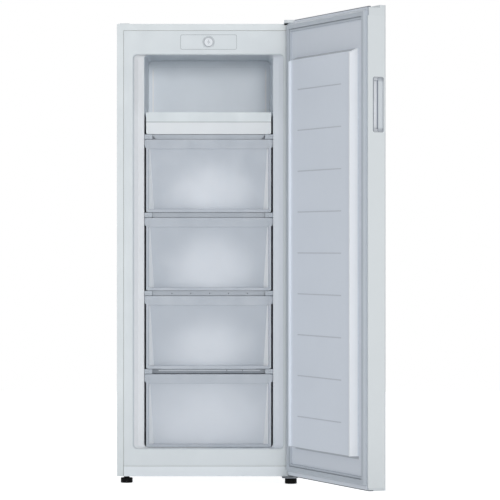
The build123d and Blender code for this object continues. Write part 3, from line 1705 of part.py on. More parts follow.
# ---- foam in the cabinet ---------------------------------------------------------------------------
foam_top = cabinet_top - casing_sheet
hem_back = front_hem_depth + casing_sheet
border_half = half_width - front_border
border_top = cabinet_top - front_border
left_channel = condenser(-1, condenser_tube / 2 + foot_clearance)
right_channel = condenser(1, condenser_tube / 2 + foot_clearance)
foot_hole = foot_stud_radius + foot_clearance
foam_block = slab((-inside_half, inside_half), (casing_sheet, back_inside), (pan_top, foam_top))
plinth_space = slab((-far, far), (0, hem_back), (0, plinth_top))
machine_room = slab((-far, far), (machine_front - pan_sheet, far), (0, machine_top + pan_sheet))
with BuildPart() as cabinet_foam:
    add(foam_block)
    add(plinth_space, mode=Mode.SUBTRACT)
    add(machine_room, mode=Mode.SUBTRACT)
    with BuildSketch(facing(casing_sheet)):
        with Locations((0, (plinth_top + border_top + casing_sheet) / 2)):
            Rectangle(2 * (border_half + casing_sheet), border_top + casing_sheet - plinth_top)
        with Locations((0, (plinth_top + border_top) / 2)):
            Rectangle(2 * border_half, border_top - plinth_top, mode=Mode.SUBTRACT)
    extrude(amount=-front_hem_depth, mode=Mode.SUBTRACT)
    with BuildSketch(facing(casing_sheet)):
        with Locations((0, (plinth_top + border_top) / 2)):
            Rectangle(2 * border_half, border_top - plinth_top)
    extrude(amount=casing_sheet - liner_wall, mode=Mode.SUBTRACT)
    add(cavity_outside.part, mode=Mode.SUBTRACT)
    with BuildSketch(facing(liner_wall)):
        with Locations((0, fascia_middle)):
            RectangleRounded(2 * housing_half, housing_high - housing_low, fascia_radius + fascia_wall)
    extrude(amount=-control_box_depth, mode=Mode.SUBTRACT)
    add(left_channel, mode=Mode.SUBTRACT)
    add(right_channel, mode=Mode.SUBTRACT)
    with BuildSketch(level(pan_top)):
        with Locations(*foot_places):
            Circle(foot_hole)
    extrude(amount=foot_stud_top + foot_clearance - pan_top, mode=Mode.SUBTRACT)
    with BuildSketch(level(pan_top)):
        with Locations(*foot_places):
            RegularPolygon(nut_width / 2 + pin_clearance, 6, major_radius=False)
    extrude(amount=nut_height + pin_clearance, mode=Mode.SUBTRACT)
    with BuildSketch(level(pan_top)):
        with Locations(*low_bolt_places):
            Circle(low_bolt_radius + pin_clearance)
    extrude(amount=low_bracket_z + low_bolt_length + foot_clearance - pan_top, mode=Mode.SUBTRACT)
    with BuildSketch(level(foam_top)):
        with Locations((blank_x, blank_y)):
            Circle(peg_radius + pin_clearance)
    extrude(amount=-(peg_length + foot_clearance - casing_sheet), mode=Mode.SUBTRACT)
    with BuildSketch(level(foam_top)):
        with Locations(*hinge_screw_places):
            Circle(screw_radius + pin_clearance)
    extrude(amount=-(screw_length - bracket_thickness), mode=Mode.SUBTRACT)
    with BuildSketch(level(plate_low)):
        with Locations(((bracket_left + bracket_right) / 2, (plate_front + bracket_back) / 2)):
            Rectangle(bracket_right - bracket_left, bracket_back - plate_front)
    extrude(amount=plate_thickness, mode=Mode.SUBTRACT)
write(cabinet_foam.part, "cabinet_foam")
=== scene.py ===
import json
import math

import bmesh
import bpy
from mathutils import Matrix, Vector


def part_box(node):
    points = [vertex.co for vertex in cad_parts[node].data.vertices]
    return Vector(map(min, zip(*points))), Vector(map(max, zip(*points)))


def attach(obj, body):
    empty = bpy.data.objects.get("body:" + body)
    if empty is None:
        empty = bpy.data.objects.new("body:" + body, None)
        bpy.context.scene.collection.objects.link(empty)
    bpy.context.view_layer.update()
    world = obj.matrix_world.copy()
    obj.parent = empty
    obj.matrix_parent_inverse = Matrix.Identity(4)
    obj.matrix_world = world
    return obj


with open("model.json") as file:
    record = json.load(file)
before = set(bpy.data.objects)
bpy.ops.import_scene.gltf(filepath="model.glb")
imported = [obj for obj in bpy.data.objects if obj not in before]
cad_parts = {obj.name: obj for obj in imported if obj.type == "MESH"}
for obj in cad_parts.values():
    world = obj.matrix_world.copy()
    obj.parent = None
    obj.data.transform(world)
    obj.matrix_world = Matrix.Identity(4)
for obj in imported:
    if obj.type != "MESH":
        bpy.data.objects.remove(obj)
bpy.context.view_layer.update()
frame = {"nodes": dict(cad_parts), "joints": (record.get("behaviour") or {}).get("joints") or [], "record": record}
nodes = frame["nodes"]
scene = bpy.context.scene


def corners(node):
    """A node's lowest and highest corner, in millimetres."""
    return [[round(v * 1000, 3) for v in corner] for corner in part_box(node)]


# places on the freezer, taken from the frame, in millimetres; the materials use them in metres
joints = {joint["name"]: joint for joint in frame["joints"]}
OPEN_ANGLE = math.radians(-joints["door_hinge"]["range_deg"][0])  # from shut to the rest pose
HINGE_X, HINGE_Y = [v * 1000 for v in joints["door_hinge"]["pos_m"][:2]]
KNOB_Z = joints["knob_turn"]["pos_m"][2] * 1000  # also the middle of the control panel
GRIP_LOW_Z, GRIP_HIGH_Z = [corner[2] for corner in corners("handle_cup")]
GRIP_Z = (GRIP_LOW_Z + GRIP_HIGH_Z) / 2
DRAWERS = (1, 2, 3, 4)  # from the top down
(_, FRONT_Y, LOWEST_LEVEL), (FRONT_HALF_X, _, LOWEST_TOP) = corners("drawer_4_front")
FRONT_HEIGHT = LOWEST_TOP - LOWEST_LEVEL
# rise from one drawer to the next, and from the top one to the tray
LEVEL_STEP = (corners("tray_front")[0][2] - LOWEST_LEVEL) / len(DRAWERS)


# ---- node helpers ------------------------------------------------------------------------------
def srgb(*values):
    """Turns display values from 0 to 255 into linear ones."""
    out = []
    for value in values:
        v = value / 255
        out.append(v / 12.92 if v <= 0.04045 else ((v + 0.055) / 1.055) ** 2.4)
    return out


def dim(colour, share):
    """A share of a linear colour."""
    return [c * share for c in colour]


class Surface:
    """One material under construction: a shader, object coordinates and small node shortcuts."""

    def __init__(self, name):
        self.material = bpy.data.materials.new(name)
        self.material.use_nodes = True
        self.tree = self.material.node_tree
        self.shader = self.tree.nodes["Principled BSDF"]
        self.place = self.tree.nodes.new("ShaderNodeTexCoord").outputs["Object"]

    def feed(self, socket, value):
        """Links a socket or sets a constant."""
        if isinstance(value, bpy.types.NodeSocket):
            self.tree.links.new(value, socket)
        elif isinstance(value, (list, tuple)) and len(value) == 3 and len(socket.default_value) == 4:
            socket.default_value = (*value, 1)
        else:
            socket.default_value = value

    def set(self, **values):
        """Feeds the shader's sockets; an underscore stands for a space in a socket's name."""
        for name, value in values.items():
            self.feed(self.shader.inputs[name.replace("_", " ")], value)

    # sums with sockets and numbers
    def math(self, operation, *values):
        node = self.tree.nodes.new("ShaderNodeMath")
        node.operation = operation
        for socket, value in zip(node.inputs, values):
            self.feed(socket, value)
        return node.outputs["Value"]

    def plus(self, first, second):
        return self.math("ADD", first, second)

    def times(self, *values):
        """The product of all values."""
        total = values[0]
        for value in values[1:]:
            total = self.math("MULTIPLY", total, value)
        return total

    def apart(self, value, centre):
        """How far a value is from a centre, to either side."""
        return self.math("ABSOLUTE", self.plus(value, -centre))

    def hypot(self, across, upward):
        """Length of the slope over two legs."""
        return self.math(
            "SQRT", self.plus(self.times(across, across), self.times(upward, upward))
        )

    def span(self, value, low, high, to_low=0.0, to_high=1.0):
        """Maps a value from one range to another, with soft ends and never outside it."""
        node = self.tree.nodes.new("ShaderNodeMapRange")
        node.interpolation_type = "SMOOTHSTEP"
        self.feed(node.inputs["Value"], value)
        self.feed(node.inputs["From Min"], low)
        self.feed(node.inputs["From Max"], high)
        self.feed(node.inputs["To Min"], to_low)
        self.feed(node.inputs["To Max"], to_high)
        return node.outputs["Result"]

    def between(self, value, rise, fall):
        """1 between two soft edges and 0 beyond them; each edge is given as (outside, inside)."""
        return self.times(self.span(value, *rise), self.span(value, *fall))

    def blend(self, factor, first, second, kind="MIX"):
        """Mixes two colours; a factor of 1 gives the second."""
        node = self.tree.nodes.new("ShaderNodeMix")
        node.data_type = "RGBA"
        node.blend_type = kind
        self.feed(node.inputs[0], factor)
        self.feed(node.inputs[6], first)
        self.feed(node.inputs[7], second)
        return node.outputs[2]

    # places, in metres
    def axis(self, letter):
        """The object coordinate X, Y or Z."""
        node = self.tree.nodes.new("ShaderNodeSeparateXYZ")
        self.tree.links.new(self.place, node.inputs["Vector"])
        return node.outputs[letter]

    def from_hinge(self, towards_x, towards_y):
        """How far a point is from the door's axis in a level direction."""
        return self.plus(
            self.times(self.plus(self.axis("X"), -HINGE_X / 1000), towards_x),
            self.times(self.plus(self.axis("Y"), -HINGE_Y / 1000), towards_y),
        )

    def inward(self):
        """How far a point of the open door lies towards its inner side, from the axis."""
        return self.from_hinge(-math.sin(OPEN_ANGLE), math.cos(OPEN_ANGLE))

    def reach(self):
        """How far a point of the open door lies towards its free edge, from the axis."""
        return self.from_hinge(-math.cos(OPEN_ANGLE), -math.sin(OPEN_ANGLE))

    # textures and relief
    def stretched(self, scale):
        """Object coordinates scaled by axis; a small scale draws a texture out along that axis."""
        node = self.tree.nodes.new("ShaderNodeMapping")
        node.inputs["Scale"].default_value = scale
        self.tree.links.new(self.place, node.inputs["Vector"])
        return node.outputs["Vector"]

    def noise(self, scale, detail=2.0, vector=None, warp=0.0):
        node = self.tree.nodes.new("ShaderNodeTexNoise")
        node.inputs["Scale"].default_value = scale
        node.inputs["Detail"].default_value = detail
        node.inputs["Distortion"].default_value = warp
        self.tree.links.new(vector or self.place, node.inputs["Vector"])
        return node.outputs["Fac"]

    def cells(self, scale, feature="F1"):
        node = self.tree.nodes.new("ShaderNodeTexVoronoi")
        node.feature = feature
        node.inputs["Scale"].default_value = scale
        self.tree.links.new(self.place, node.inputs["Vector"])
        return node.outputs["Distance"]

    def creases(self, reach):
        """0 in narrow joints and corners, 1 on open faces; it drives painted shade."""
        node = self.tree.nodes.new("ShaderNodeAmbientOcclusion")
        node.samples = 6
        node.inputs["Distance"].default_value = reach
        return node.outputs["AO"]

    def relief(self, *layers):
        """Stacks bumps given as (height, strength, distance)."""
        normal = None
        for height, strength, distance in layers:
            node = self.tree.nodes.new("ShaderNodeBump")
            node.inputs["Strength"].default_value = strength
            node.inputs["Distance"].default_value = distance
            self.tree.links.new(height, node.inputs["Height"])
            if normal is not None:
                self.tree.links.new(normal, node.inputs["Normal"])
            normal = node.outputs["Normal"]
        self.tree.links.new(normal, self.shader.inputs["Normal"])

    def formed_relief(self, ripple):
        """Vacuum-formed sheet: broad ripples, small unevenness and a fine grain."""
        self.relief(
            (self.noise(ripple, 2.0), 0.08, 0.002),
            (self.noise(240.0, 3.0), 0.05, 0.0004),
            (self.cells(1300.0), 0.03, 0.0001),
        )

    def moulded_relief(self, grain):
        """Moulded plastic: faint sink marks and a fine grain."""
        self.relief(
            (self.noise(7.0, 1.0), 0.05, 0.0015),
            (self.noise(grain, 2.0), 0.05, 0.0002),
        )

    def translucent(self, weight):
        """Light enters a few millimetres, as in thin pale plastic."""
        self.set(Subsurface_Weight=weight, Subsurface_Radius=(0.004, 0.005, 0.006))
        self.set(Subsurface_Scale=0.6)


def mottled_with_crease_shade(s, colour, mottle, crease_shade, reach):
    """The colour with broad and small mottling, and painted shade in joints and corners unless the crease shade is
    0.
    """
    broad = s.noise(4.0, 3.0, warp=0.4)
    small = s.noise(60.0, 3.0)
    both = s.plus(s.times(broad, 0.7), s.times(small, 0.3))
    level = s.span(both, 0.3, 0.7, 1 - mottle, 1 + mottle)
    toned = s.blend(1.0, colour, level, "MULTIPLY")
    if crease_shade <= 0:
        return toned
    # painted shade: darker where the occlusion node finds joints and corners
    joint = s.span(s.creases(reach), 0.0, 0.75, 1 - crease_shade, 1.0)
    return s.blend(1.0, toned, joint, "MULTIPLY")


def smudged(s, rough, spread):
    """Uneven gloss: soft patches, and the faint strokes that a wiping cloth leaves."""
    patches = s.noise(14.0, 4.0, warp=0.6)
    strokes = s.noise(38.0, 3.0, s.stretched((1.0, 1.0, 0.12)), 0.3)
    both = s.plus(s.times(patches, 0.6), s.times(strokes, 0.4))
    return s.span(both, 0.28, 0.72, max(0.04, rough - spread), min(1.0, rough + spread))


def dress(s, colour, mottle=0.008, crease_shade=0.3, reach=0.004, rough=0.42, spread=0.06):
    """Gives a surface its mottled colour with painted shade in its creases, and its uneven gloss."""
    s.set(Base_Color=mottled_with_crease_shade(s, colour, mottle, crease_shade, reach))
    s.set(Roughness=smudged(s, rough, spread))


# ---- materials ---------------------------------------------------------------------------------
def enamel(name, colour):
    """Sprayed and baked enamel on sheet: orange peel, a thin gloss and wiping marks."""
    s = Surface(name)
    dress(s, colour)
    s.set(Coat_Weight=0.1, Coat_Roughness=0.22)
    s.relief(
        (s.noise(9.0, 1.0), 0.06, 0.002),
        (s.noise(420.0, 2.0), 0.07, 0.0003),
        (s.cells(1500.0), 0.03, 0.0001),
    )
    return s.material


def moulded(name, colour, rough=0.4, grain=0.05, clear=0.0):
    """Injection-moulded plastic: spark-eroded grain, flow marks and slightly uneven gloss."""
    s = Surface(name)
    dress(s, colour, rough=rough)
    if clear:
        s.translucent(clear)
    s.relief(
        (s.noise(7.0, 1.0, s.stretched((1.0, 1.0, 0.5))), 0.05, 0.0015),
        (s.noise(900.0, 2.0), grain, 0.0002),
        (s.cells(2200.0), grain / 2, 0.0001),
    )
    return s.material


def formed_liner(name, front, left_bevel, right_bevel, deep, painted_highlight):
    """Vacuum-formed sheet, with painted light on the opening's bevels, less on the right one, and painted light
    that makes it paler deep inside.
    """
    s = Surface(name)
    x, y, z = s.axis("X"), s.axis("Y"), s.axis("Z")
    bevel_front, bevel_back, behind_bevel = (0.004, 0.01), (0.05, 0.044), (0.044, 0.06)
    # painted light on the opening's bevels, weaker on the right one, which the open door shades
    bevel_light = s.blend(s.span(x, -0.01, 0.01), left_bevel, right_bevel)
    # painted light: the sheet is paler deep inside, lifting the shade there
    base = s.blend(s.span(y, *behind_bevel), front, deep)
    base = s.blend(s.between(y, bevel_front, bevel_back), base, bevel_light)
    # painted highlight along the frame drawn round the back wall
    frame_x, frame_edge = 0.1795, (0.0032, 0.0014)
    back_wall, frame_top = (0.424, 0.428), (1.292, 1.27)
    off = s.apart(s.math("ABSOLUTE", x), frame_x)
    line = s.times(s.span(off, *frame_edge), s.span(y, *back_wall), s.span(z, *frame_top))
    base = s.blend(line, base, painted_highlight)
    dress(s, base, mottle=0.007, crease_shade=0.35, reach=0.006)
    s.formed_relief(6.0)
    return s.material


def door_panel(name, colour, painted_highlight):
    """The door's inner panel: a flat field with painted shade along its pressed lines, a painted highlight on the
    flank at its far end, and painted shade on its margin, its slopes and the plateau's foot.
    """
    s = Surface(name)
    z, inward, reach = s.axis("Z"), s.inward(), s.reach()
    raised, far_flank = (0.0235, 0.0265), (0.466, 0.4675)
    high = s.span(inward, *raised)
    flank = s.times(s.span(reach, *far_flank), high)
    # painted shade on the margin round the plateau, and a painted highlight on the flank at the far end
    base = s.blend(flank, s.blend(high, dim(colour, 0.9), colour), painted_highlight)
    # painted shade on the plateau's slopes at the top and on the hinge's side
    below_field, top_z, short_of_flank = (0.0412, 0.0404), (1.262, 1.268), (0.4672, 0.466)
    near_end = (0.062, 0.058)
    slope = s.times(high, s.span(inward, *below_field))
    top_slope_shade = s.times(slope, s.span(z, *top_z), s.span(reach, *short_of_flank))
    near_side_shade = s.times(slope, s.span(reach, *near_end))
    # painted shadow line at the plateau's foot
    foot_low, foot_high = (0.1118, 0.1142), (0.1226, 0.1206)
    foot_near, foot_far = (0.044, 0.05), (0.4815, 0.4795)
    foot = s.times(s.between(z, foot_low, foot_high), s.between(reach, foot_near, foot_far))
    # painted shade along the pressed lines across the field, at even steps; their half width is a share of a step
    lowest_line, line_step, line_edge = 0.2138, 0.1214, (0.017, 0.009)
    on_field, line_near, line_far = (0.0385, 0.0395), (0.1035, 0.105), (0.4057, 0.4042)
    below_slope = (1.2, 1.19)
    step = s.math("DIVIDE", s.plus(z, -lowest_line), line_step)
    off = s.apart(s.math("FRACT", s.plus(step, 0.5)), 0.5)
    line = s.times(
        s.span(off, *line_edge),
        s.span(inward, *on_field),
        s.between(reach, line_near, line_far),
        s.span(z, *below_slope),
    )
    # each painted shade darkens the colour to its share
    for part, share in ((top_slope_shade, 0.5), (foot, 0.62), (near_side_shade, 0.8), (line, 0.8)):
        base = s.blend(part, base, dim(colour, share))
    dress(s, base, reach=0.005)
    s.formed_relief(5.0)
    return s.material


def drawer_face(name, rim, shade, glow, cheek_highlight):
    """A drawer front: a rim in painted shade, cheeks with a painted highlight, and a frosted panel in painted
    shade with a painted pool of light low down.
    """
    s = Surface(name)
    x, y, z = s.axis("X"), s.axis("Y"), s.axis("Z")
    # share of the way up from one level to the next
    level = s.math("DIVIDE", s.plus(z, -LOWEST_LEVEL / 1000), LEVEL_STEP / 1000)
    level = s.math("FRACT", level)
    depth = s.plus(y, -FRONT_Y / 1000)
    side = s.plus(s.math("ABSOLUTE", x), depth)
    sink, sunk_low, sunk_high = (0.0006, 0.0026), (0.034, 0.038), (0.812, 0.808)
    panel_side = (0.1834, 0.1822)
    sunk = s.times(s.span(depth, *sink), s.between(level, sunk_low, sunk_high))
    panel_part = s.times(sunk, s.span(side, *panel_side))
    # the cheeks, the sunk strips beside the panel, carry a painted highlight
    cheek_highlight_part = s.math("SUBTRACT", sunk, panel_part)
    # the patch is a painted pool of light: a ragged ellipse, larger on the lowest drawer
    patch_x, patch_level, half_width, half_rise = 0.004, 0.27, 0.175, 0.52
    across = s.math("DIVIDE", s.plus(x, -patch_x), half_width)
    upward = s.math("DIVIDE", s.plus(level, -patch_level), half_rise)
    in_lowest, lowest_share = (0.36, 0.34), 0.62
    away = s.times(s.hypot(across, upward), s.span(z, *in_lowest, 1.0, lowest_share))
    cloud = s.times(s.plus(s.noise(7.0, 2.0), -0.5), 0.35)
    light = s.span(s.plus(away, cloud), 1.05, 0.1)
    # painted shade on the rim and on the panel round the patch
    base = s.blend(panel_part, rim, s.blend(light, shade, glow))
    base = s.blend(cheek_highlight_part, base, cheek_highlight)
    dress(s, base, mottle=0.006, rough=0.4)
    s.translucent(0.08)
    s.relief(
        (s.noise(7.0, 1.0), 0.05, 0.0015),
        (s.noise(800.0, 2.0), 0.05, 0.0002),
        (s.cells(2000.0), 0.03, 0.0001),
    )
    return s.material


def tray_face(name, upper, lower):
    """The tray: painted light makes its leaning lower band paler than the upper one, and a painted shadow line
    marks the seam between.
    """
    s = Surface(name)
    z = s.axis("Z")
    seam_z, seam_edge = 1.0977, (0.0016, 0.0008)
    # painted light on the leaning lower band
    base = s.blend(s.span(z, seam_z - 0.0005, seam_z + 0.0001), lower, upper)
    # painted shadow line along the seam
    base = s.blend(s.span(s.apart(z, seam_z), *seam_edge), base, dim(upper, 0.62))
    dress(s, base, mottle=0.006, rough=0.38)
    s.translucent(0.06)
    s.moulded_relief(800.0)
    return s.material


def door_cap(name, colour, shade, line, low, high):
    """A moulded cap of the door: painted shade on its inner side, and a painted shadow line along the edge between
    two heights.
    """
    s = Surface(name)
    z, inward = s.axis("Z"), s.inward()
    soft, edge_from, inner_side = 0.0004, (0.004, 0.008), (0.019, 0.0205)
    edge = s.between(z, (low - soft, low + soft), (high + soft, high))
    # painted shade on the inner side
    base = s.blend(s.span(inward, *inner_side), colour, shade)
    # painted shadow line along the edge
    base = s.blend(s.times(s.span(inward, *edge_from), edge), base, line)
    dress(s, base, rough=0.4)
    s.moulded_relief(900.0)
    return s.material


def cup(name, colour, ledge, shade):
    """The grip: a slot painted pale, as painted light in its shade, with painted shade in its two inner corners
    and at its ends.
    """
    s = Surface(name)
    inward = s.inward()
    outer_corner, corner_edge, inner_corner = -0.0102, (0.0016, 0.0009), (0.0042, 0.005)
    ledge_edge, end_reach, end_share = (-0.0108, -0.0116), (0.063, 0.071), 0.5
    # painted shade in the two inner corners and at the ends
    outer = s.span(s.apart(inward, outer_corner), *corner_edge)
    corner = s.math("MAXIMUM", outer, s.span(inward, *inner_corner))
    ends = s.span(s.apart(s.axis("Z"), GRIP_Z / 1000), *end_reach, 0.0, end_share)
    # painted light: the slot is paler than the ledge
    base = s.blend(s.span(inward, *ledge_edge), colour, ledge)
    base = s.blend(s.math("MAXIMUM", corner, ends), base, shade)
    dress(s, base, crease_shade=0.45)
    s.moulded_relief(900.0)
    return s.material


def seal_rubber(name, colour):
    """Extruded soft plastic: lengthwise draw lines and a dull skin."""
    s = Surface(name)
    lines = s.noise(420.0, 2.0, s.stretched((1.0, 1.0, 0.03)))
    dress(s, colour, mottle=0.02, crease_shade=0.35, reach=0.005, rough=0.62, spread=0.08)
    s.relief((lines, 0.1, 0.0004), (s.noise(1200.0, 2.0), 0.06, 0.0002))
    return s.material


def coated_sheet(name, colour):
    """Hot-dip coated steel: crystal spangle and rolling lines."""
    s = Surface(name)
    crystal = s.cells(70.0, "SMOOTH_F1")
    lines = s.noise(300.0, 2.0, s.stretched((0.05, 1.0, 1.0)))
    tone = s.blend(s.span(crystal, 0.1, 0.6), dim(colour, 0.86), colour)
    s.set(Base_Color=mottled_with_crease_shade(s, tone, mottle=0.03, crease_shade=0.3, reach=0.006), Metallic=0.55)
    s.set(Roughness=s.span(crystal, 0.1, 0.7, 0.38, 0.52))
    s.relief((crystal, 0.05, 0.0004), (lines, 0.06, 0.0002))
    return s.material


def plated(name, colour, rough=0.3):
    """Zinc-plated or drawn metal: fine scratches along and across, patchy lustre."""
    s = Surface(name)
    scratch = s.noise(700.0, 2.0, s.stretched((0.06, 1.0, 1.0)))
    cross = s.noise(500.0, 2.0, s.stretched((1.0, 0.08, 1.0)))
    dress(s, colour, mottle=0.05, crease_shade=0.4, rough=rough, spread=0.09)
    s.set(Metallic=1.0)
    s.relief((scratch, 0.1, 0.0002), (cross, 0.06, 0.0002))
    return s.material


def rigid_foam(name, colour):
    """Poured foam: a skin of burst cells."""
    s = Surface(name)
    cell = s.cells(520.0)
    s.set(Base_Color=mottled_with_crease_shade(s, colour, mottle=0.05, crease_shade=0.3, reach=0.006))
    s.set(Roughness=s.span(cell, 0.0, 0.8, 0.8, 0.98))
    s.relief((cell, 0.4, 0.0006), (s.noise(40.0, 3.0), 0.2, 0.001))
    return s.material


def dark(name, colour, rough, grain, gloss=0.4):
    """Black enamel, plastic or rubber: textured, with patches of grey dust."""
    s = Surface(name)
    dust = s.span(s.noise(30.0, 4.0, warp=0.5), 0.45, 0.8, 0.0, 0.35)
    tone = s.blend(dust, colour, [min(1.0, c * 1.8 + 0.003) for c in colour])
    dress(s, tone, mottle=0.08, crease_shade=0.0, rough=rough, spread=0.1)
    s.set(Specular_IOR_Level=gloss)
    s.relief((s.cells(900.0), grain, 0.0003), (s.noise(260.0, 3.0), grain / 2, 0.0003))
    return s.material


def dial(name, colour, ring):
    """The knob: white, with a darker grey ring near its edge."""
    s = Surface(name)
    radius = s.hypot(s.axis("X"), s.plus(s.axis("Z"), -KNOB_Z / 1000))
    ring_inside, ring_outside = (0.0126, 0.013), (0.0141, 0.0138)
    base = s.blend(s.between(radius, ring_inside, ring_outside), colour, ring)
    dress(s, base, mottle=0.01, crease_shade=0.4, reach=0.003, rough=0.34, spread=0.05)
    s.relief((s.noise(900.0, 2.0), 0.05, 0.0002), (s.noise(20.0, 1.0), 0.04, 0.001))
    return s.material


white = srgb(213, 219, 222)
looks = {
    "white_steel": enamel("enamelled_steel", srgb(212, 218, 220)),
    "zinc_sheet": coated_sheet("coated_sheet", srgb(158, 163, 168)),
    "white_plastic": moulded("white_plastic", white),
    "liner_plastic": formed_liner(
        "formed_liner",
        front=white,
        left_bevel=srgb(250, 251, 252),
        right_bevel=srgb(231, 236, 242),
        deep=srgb(240, 246, 252),
        painted_highlight=srgb(253, 254, 255),
    ),
    "drawer_plastic": moulded("drawer_plastic", srgb(214, 220, 223), clear=0.06),
    "grey_rubber": seal_rubber("gasket_grey", srgb(191, 198, 206)),
    "magnet_strip": dark("magnet_strip", srgb(40, 38, 38), rough=0.6, grain=0.1),
    "foam": rigid_foam("rigid_foam", srgb(196, 198, 192)),
    "bare_steel": plated("plated_steel", srgb(178, 182, 187)),
    "tube_white": moulded("coated_tube", srgb(206, 212, 218), rough=0.36, grain=0.06),
    "black_steel": dark("black_enamel", srgb(20, 20, 22), rough=0.32, grain=0.08),
    "black_plastic": dark("black_plastic", srgb(7, 7, 8), rough=0.5, grain=0.12, gloss=0.08),
    "black_rubber": dark("black_rubber", srgb(22, 22, 22), rough=0.7, grain=0.2),
    "copper": plated("drawn_copper", srgb(184, 112, 80), rough=0.28),
}
# looks of small pieces, the first one also of the shelf trims
trim_look = moulded("shelf_trim_plastic", srgb(174, 181, 189), rough=0.45)
# the shelf edges' dark grey is partly painted shade of the gaps they fill
shaded_edge_look = moulded("shelf_edge_plastic", srgb(142, 149, 158), rough=0.5)
# painted shadow for joints, and for what is seen through slots
joint_shadow_look = moulded("joint_shadow", srgb(98, 104, 112), rough=0.7, grain=0.1)
mark_look = moulded("printed_mark", srgb(146, 151, 160), rough=0.5, grain=0.06)
# looks of single nodes; all other nodes take the look of their slot
special = {
    "door_liner": door_panel(
        "door_panel_plastic",
        srgb(227, 233, 242),
        painted_highlight=srgb(238, 241, 245),
    ),
    "door_skin": enamel("door_enamel", srgb(224, 229, 231)),
    "door_top_cap": door_cap(
        "door_top_cap_plastic",
        srgb(222, 227, 229),
        shade=srgb(172, 179, 189),
        line=srgb(120, 126, 136),
        low=1.3950,
        high=1.3995,
    ),
    "door_bottom_cap": door_cap(
        "door_bottom_cap_plastic",
        srgb(214, 220, 223),
        shade=srgb(206, 212, 220),
        line=srgb(96, 101, 108),
        low=0.0262,
        high=0.0300,
    ),
    "handle_cup": cup(
        "handle_plastic",
        srgb(244, 246, 249),
        ledge=srgb(214, 219, 223),
        shade=srgb(150, 156, 166),
    ),
    # dark plated steel, darkened further as painted shade under the bracket
    "bottom_hinge_bracket": plated("hinge_plate_steel", srgb(96, 99, 104), rough=0.42),
    "front_plinth": moulded("plinth_plastic", srgb(223, 229, 233)),
    "upper_shelf_trims": trim_look,
    "slotted_shelf_trim": trim_look,
    "temperature_knob": dial("knob_plastic", srgb(216, 220, 224), ring=srgb(132, 137, 148)),
    "tray_front": tray_face(
        "tray_front_plastic",
        upper=srgb(206, 213, 216),
        lower=srgb(220, 224, 227),
    ),
    "control_fascia": looks["liner_plastic"],
}
drawer_look = drawer_face(
    "drawer_front_plastic",
    rim=srgb(170, 177, 186),
    shade=srgb(176, 183, 192),
    glow=srgb(208, 213, 220),
    cheek_highlight=srgb(232, 235, 238),
)
for number in DRAWERS:
    special["drawer_%d_front" % number] = drawer_look
for part in frame["record"]["subparts"]:
    node = nodes[part["node"]]
    node.data.materials.clear()
    node.data.materials.append(special.get(part["node"], looks[part["material_slot"]]))


# ---- small pieces, in millimetres --------------------------------------------------------------
THICKNESS = 0.12  # of joint lines and printed marks


def make_piece(name, bm, look, body):
    """Turns a bmesh in millimetres into a piece that rides on a body."""
    bmesh.ops.scale(bm, vec=(0.001, 0.001, 0.001), verts=bm.verts)
    bmesh.ops.recalc_face_normals(bm, faces=bm.faces)
    mesh = bpy.data.meshes.new(name)
    bm.to_mesh(mesh)
    bm.free()
    piece = bpy.data.objects.new(name, mesh)
    scene.collection.objects.link(piece)
    mesh.materials.append(look)
    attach(piece, body)


def soft_block(bm, low, high, radius):
    """A block with rounded edges between two corners."""
    made = bmesh.ops.create_cube(bm, size=1)["verts"]
    size = [b - a for a, b in zip(low, high)]
    middle = [(a + b) / 2 for a, b in zip(low, high)]
    bmesh.ops.scale(bm, vec=size, verts=made)
    bmesh.ops.translate(bm, vec=middle, verts=made)
    edges = list({edge for v in made for edge in v.link_edges})
    bmesh.ops.bevel(bm, geom=edges, offset=radius, segments=3, profile=0.5, affect="EDGES")


def soft_pair(bm, across, depth, height, radius):
    """A soft block on each side of the middle; across, depth and height are (low, high)."""
    for side in (-1, 1):
        near, far = sorted(side * x for x in across)
        soft_block(bm, (near, depth[0], height[0]), (far, depth[1], height[1]), radius)


def rounded_loop(half_x, half_z, radius):
    """Points round a rounded rectangle, counter-clockwise."""
    steps = 6
    points = []
    for corner in range(4):
        sign_x = 1 if corner in (0, 3) else -1
        sign_z = 1 if corner in (0, 1) else -1
        for step in range(steps + 1):
            a = math.radians(90 * (corner + step / steps))
            points.append((
                sign_x * (half_x - radius) + radius * math.cos(a),
                sign_z * (half_z - radius) + radius * math.sin(a),
            ))
    return points


def arc(radius, turns):
    """Points on a circle round the origin."""
    return [(radius * math.cos(a), radius * math.sin(a)) for a in turns]


def band(bm, inner, outer, place, closed=True):
    """A thin strip between two rows of points; place maps (u, v, lift) into space."""
    rows = []
    for row, lift in ((outer, 0.0), (outer, THICKNESS), (inner, THICKNESS), (inner, 0.0)):
        rows.append([bm.verts.new(place(u, v, lift)) for u, v in row])
    count = len(inner)
    for index in range(count if closed else count - 1):
        after = (index + 1) % count
        for first, second in zip(rows, rows[1:] + rows[:1]):
            bm.faces.new((first[index], first[after], second[after], second[index]))


def prism(bm, outline, front_y, back_y, backed=True):
    """An outline of points (x, z) drawn out between two depths, with or without its back face."""
    front, back = [[bm.verts.new((x, y, z)) for x, z in outline] for y in (front_y, back_y)]
    bm.faces.new(front)
    if backed:
        bm.faces.new(back)
    for index in range(len(outline)):
        after = (index + 1) % len(outline)
        bm.faces.new((front[index], front[after], back[after], back[index]))


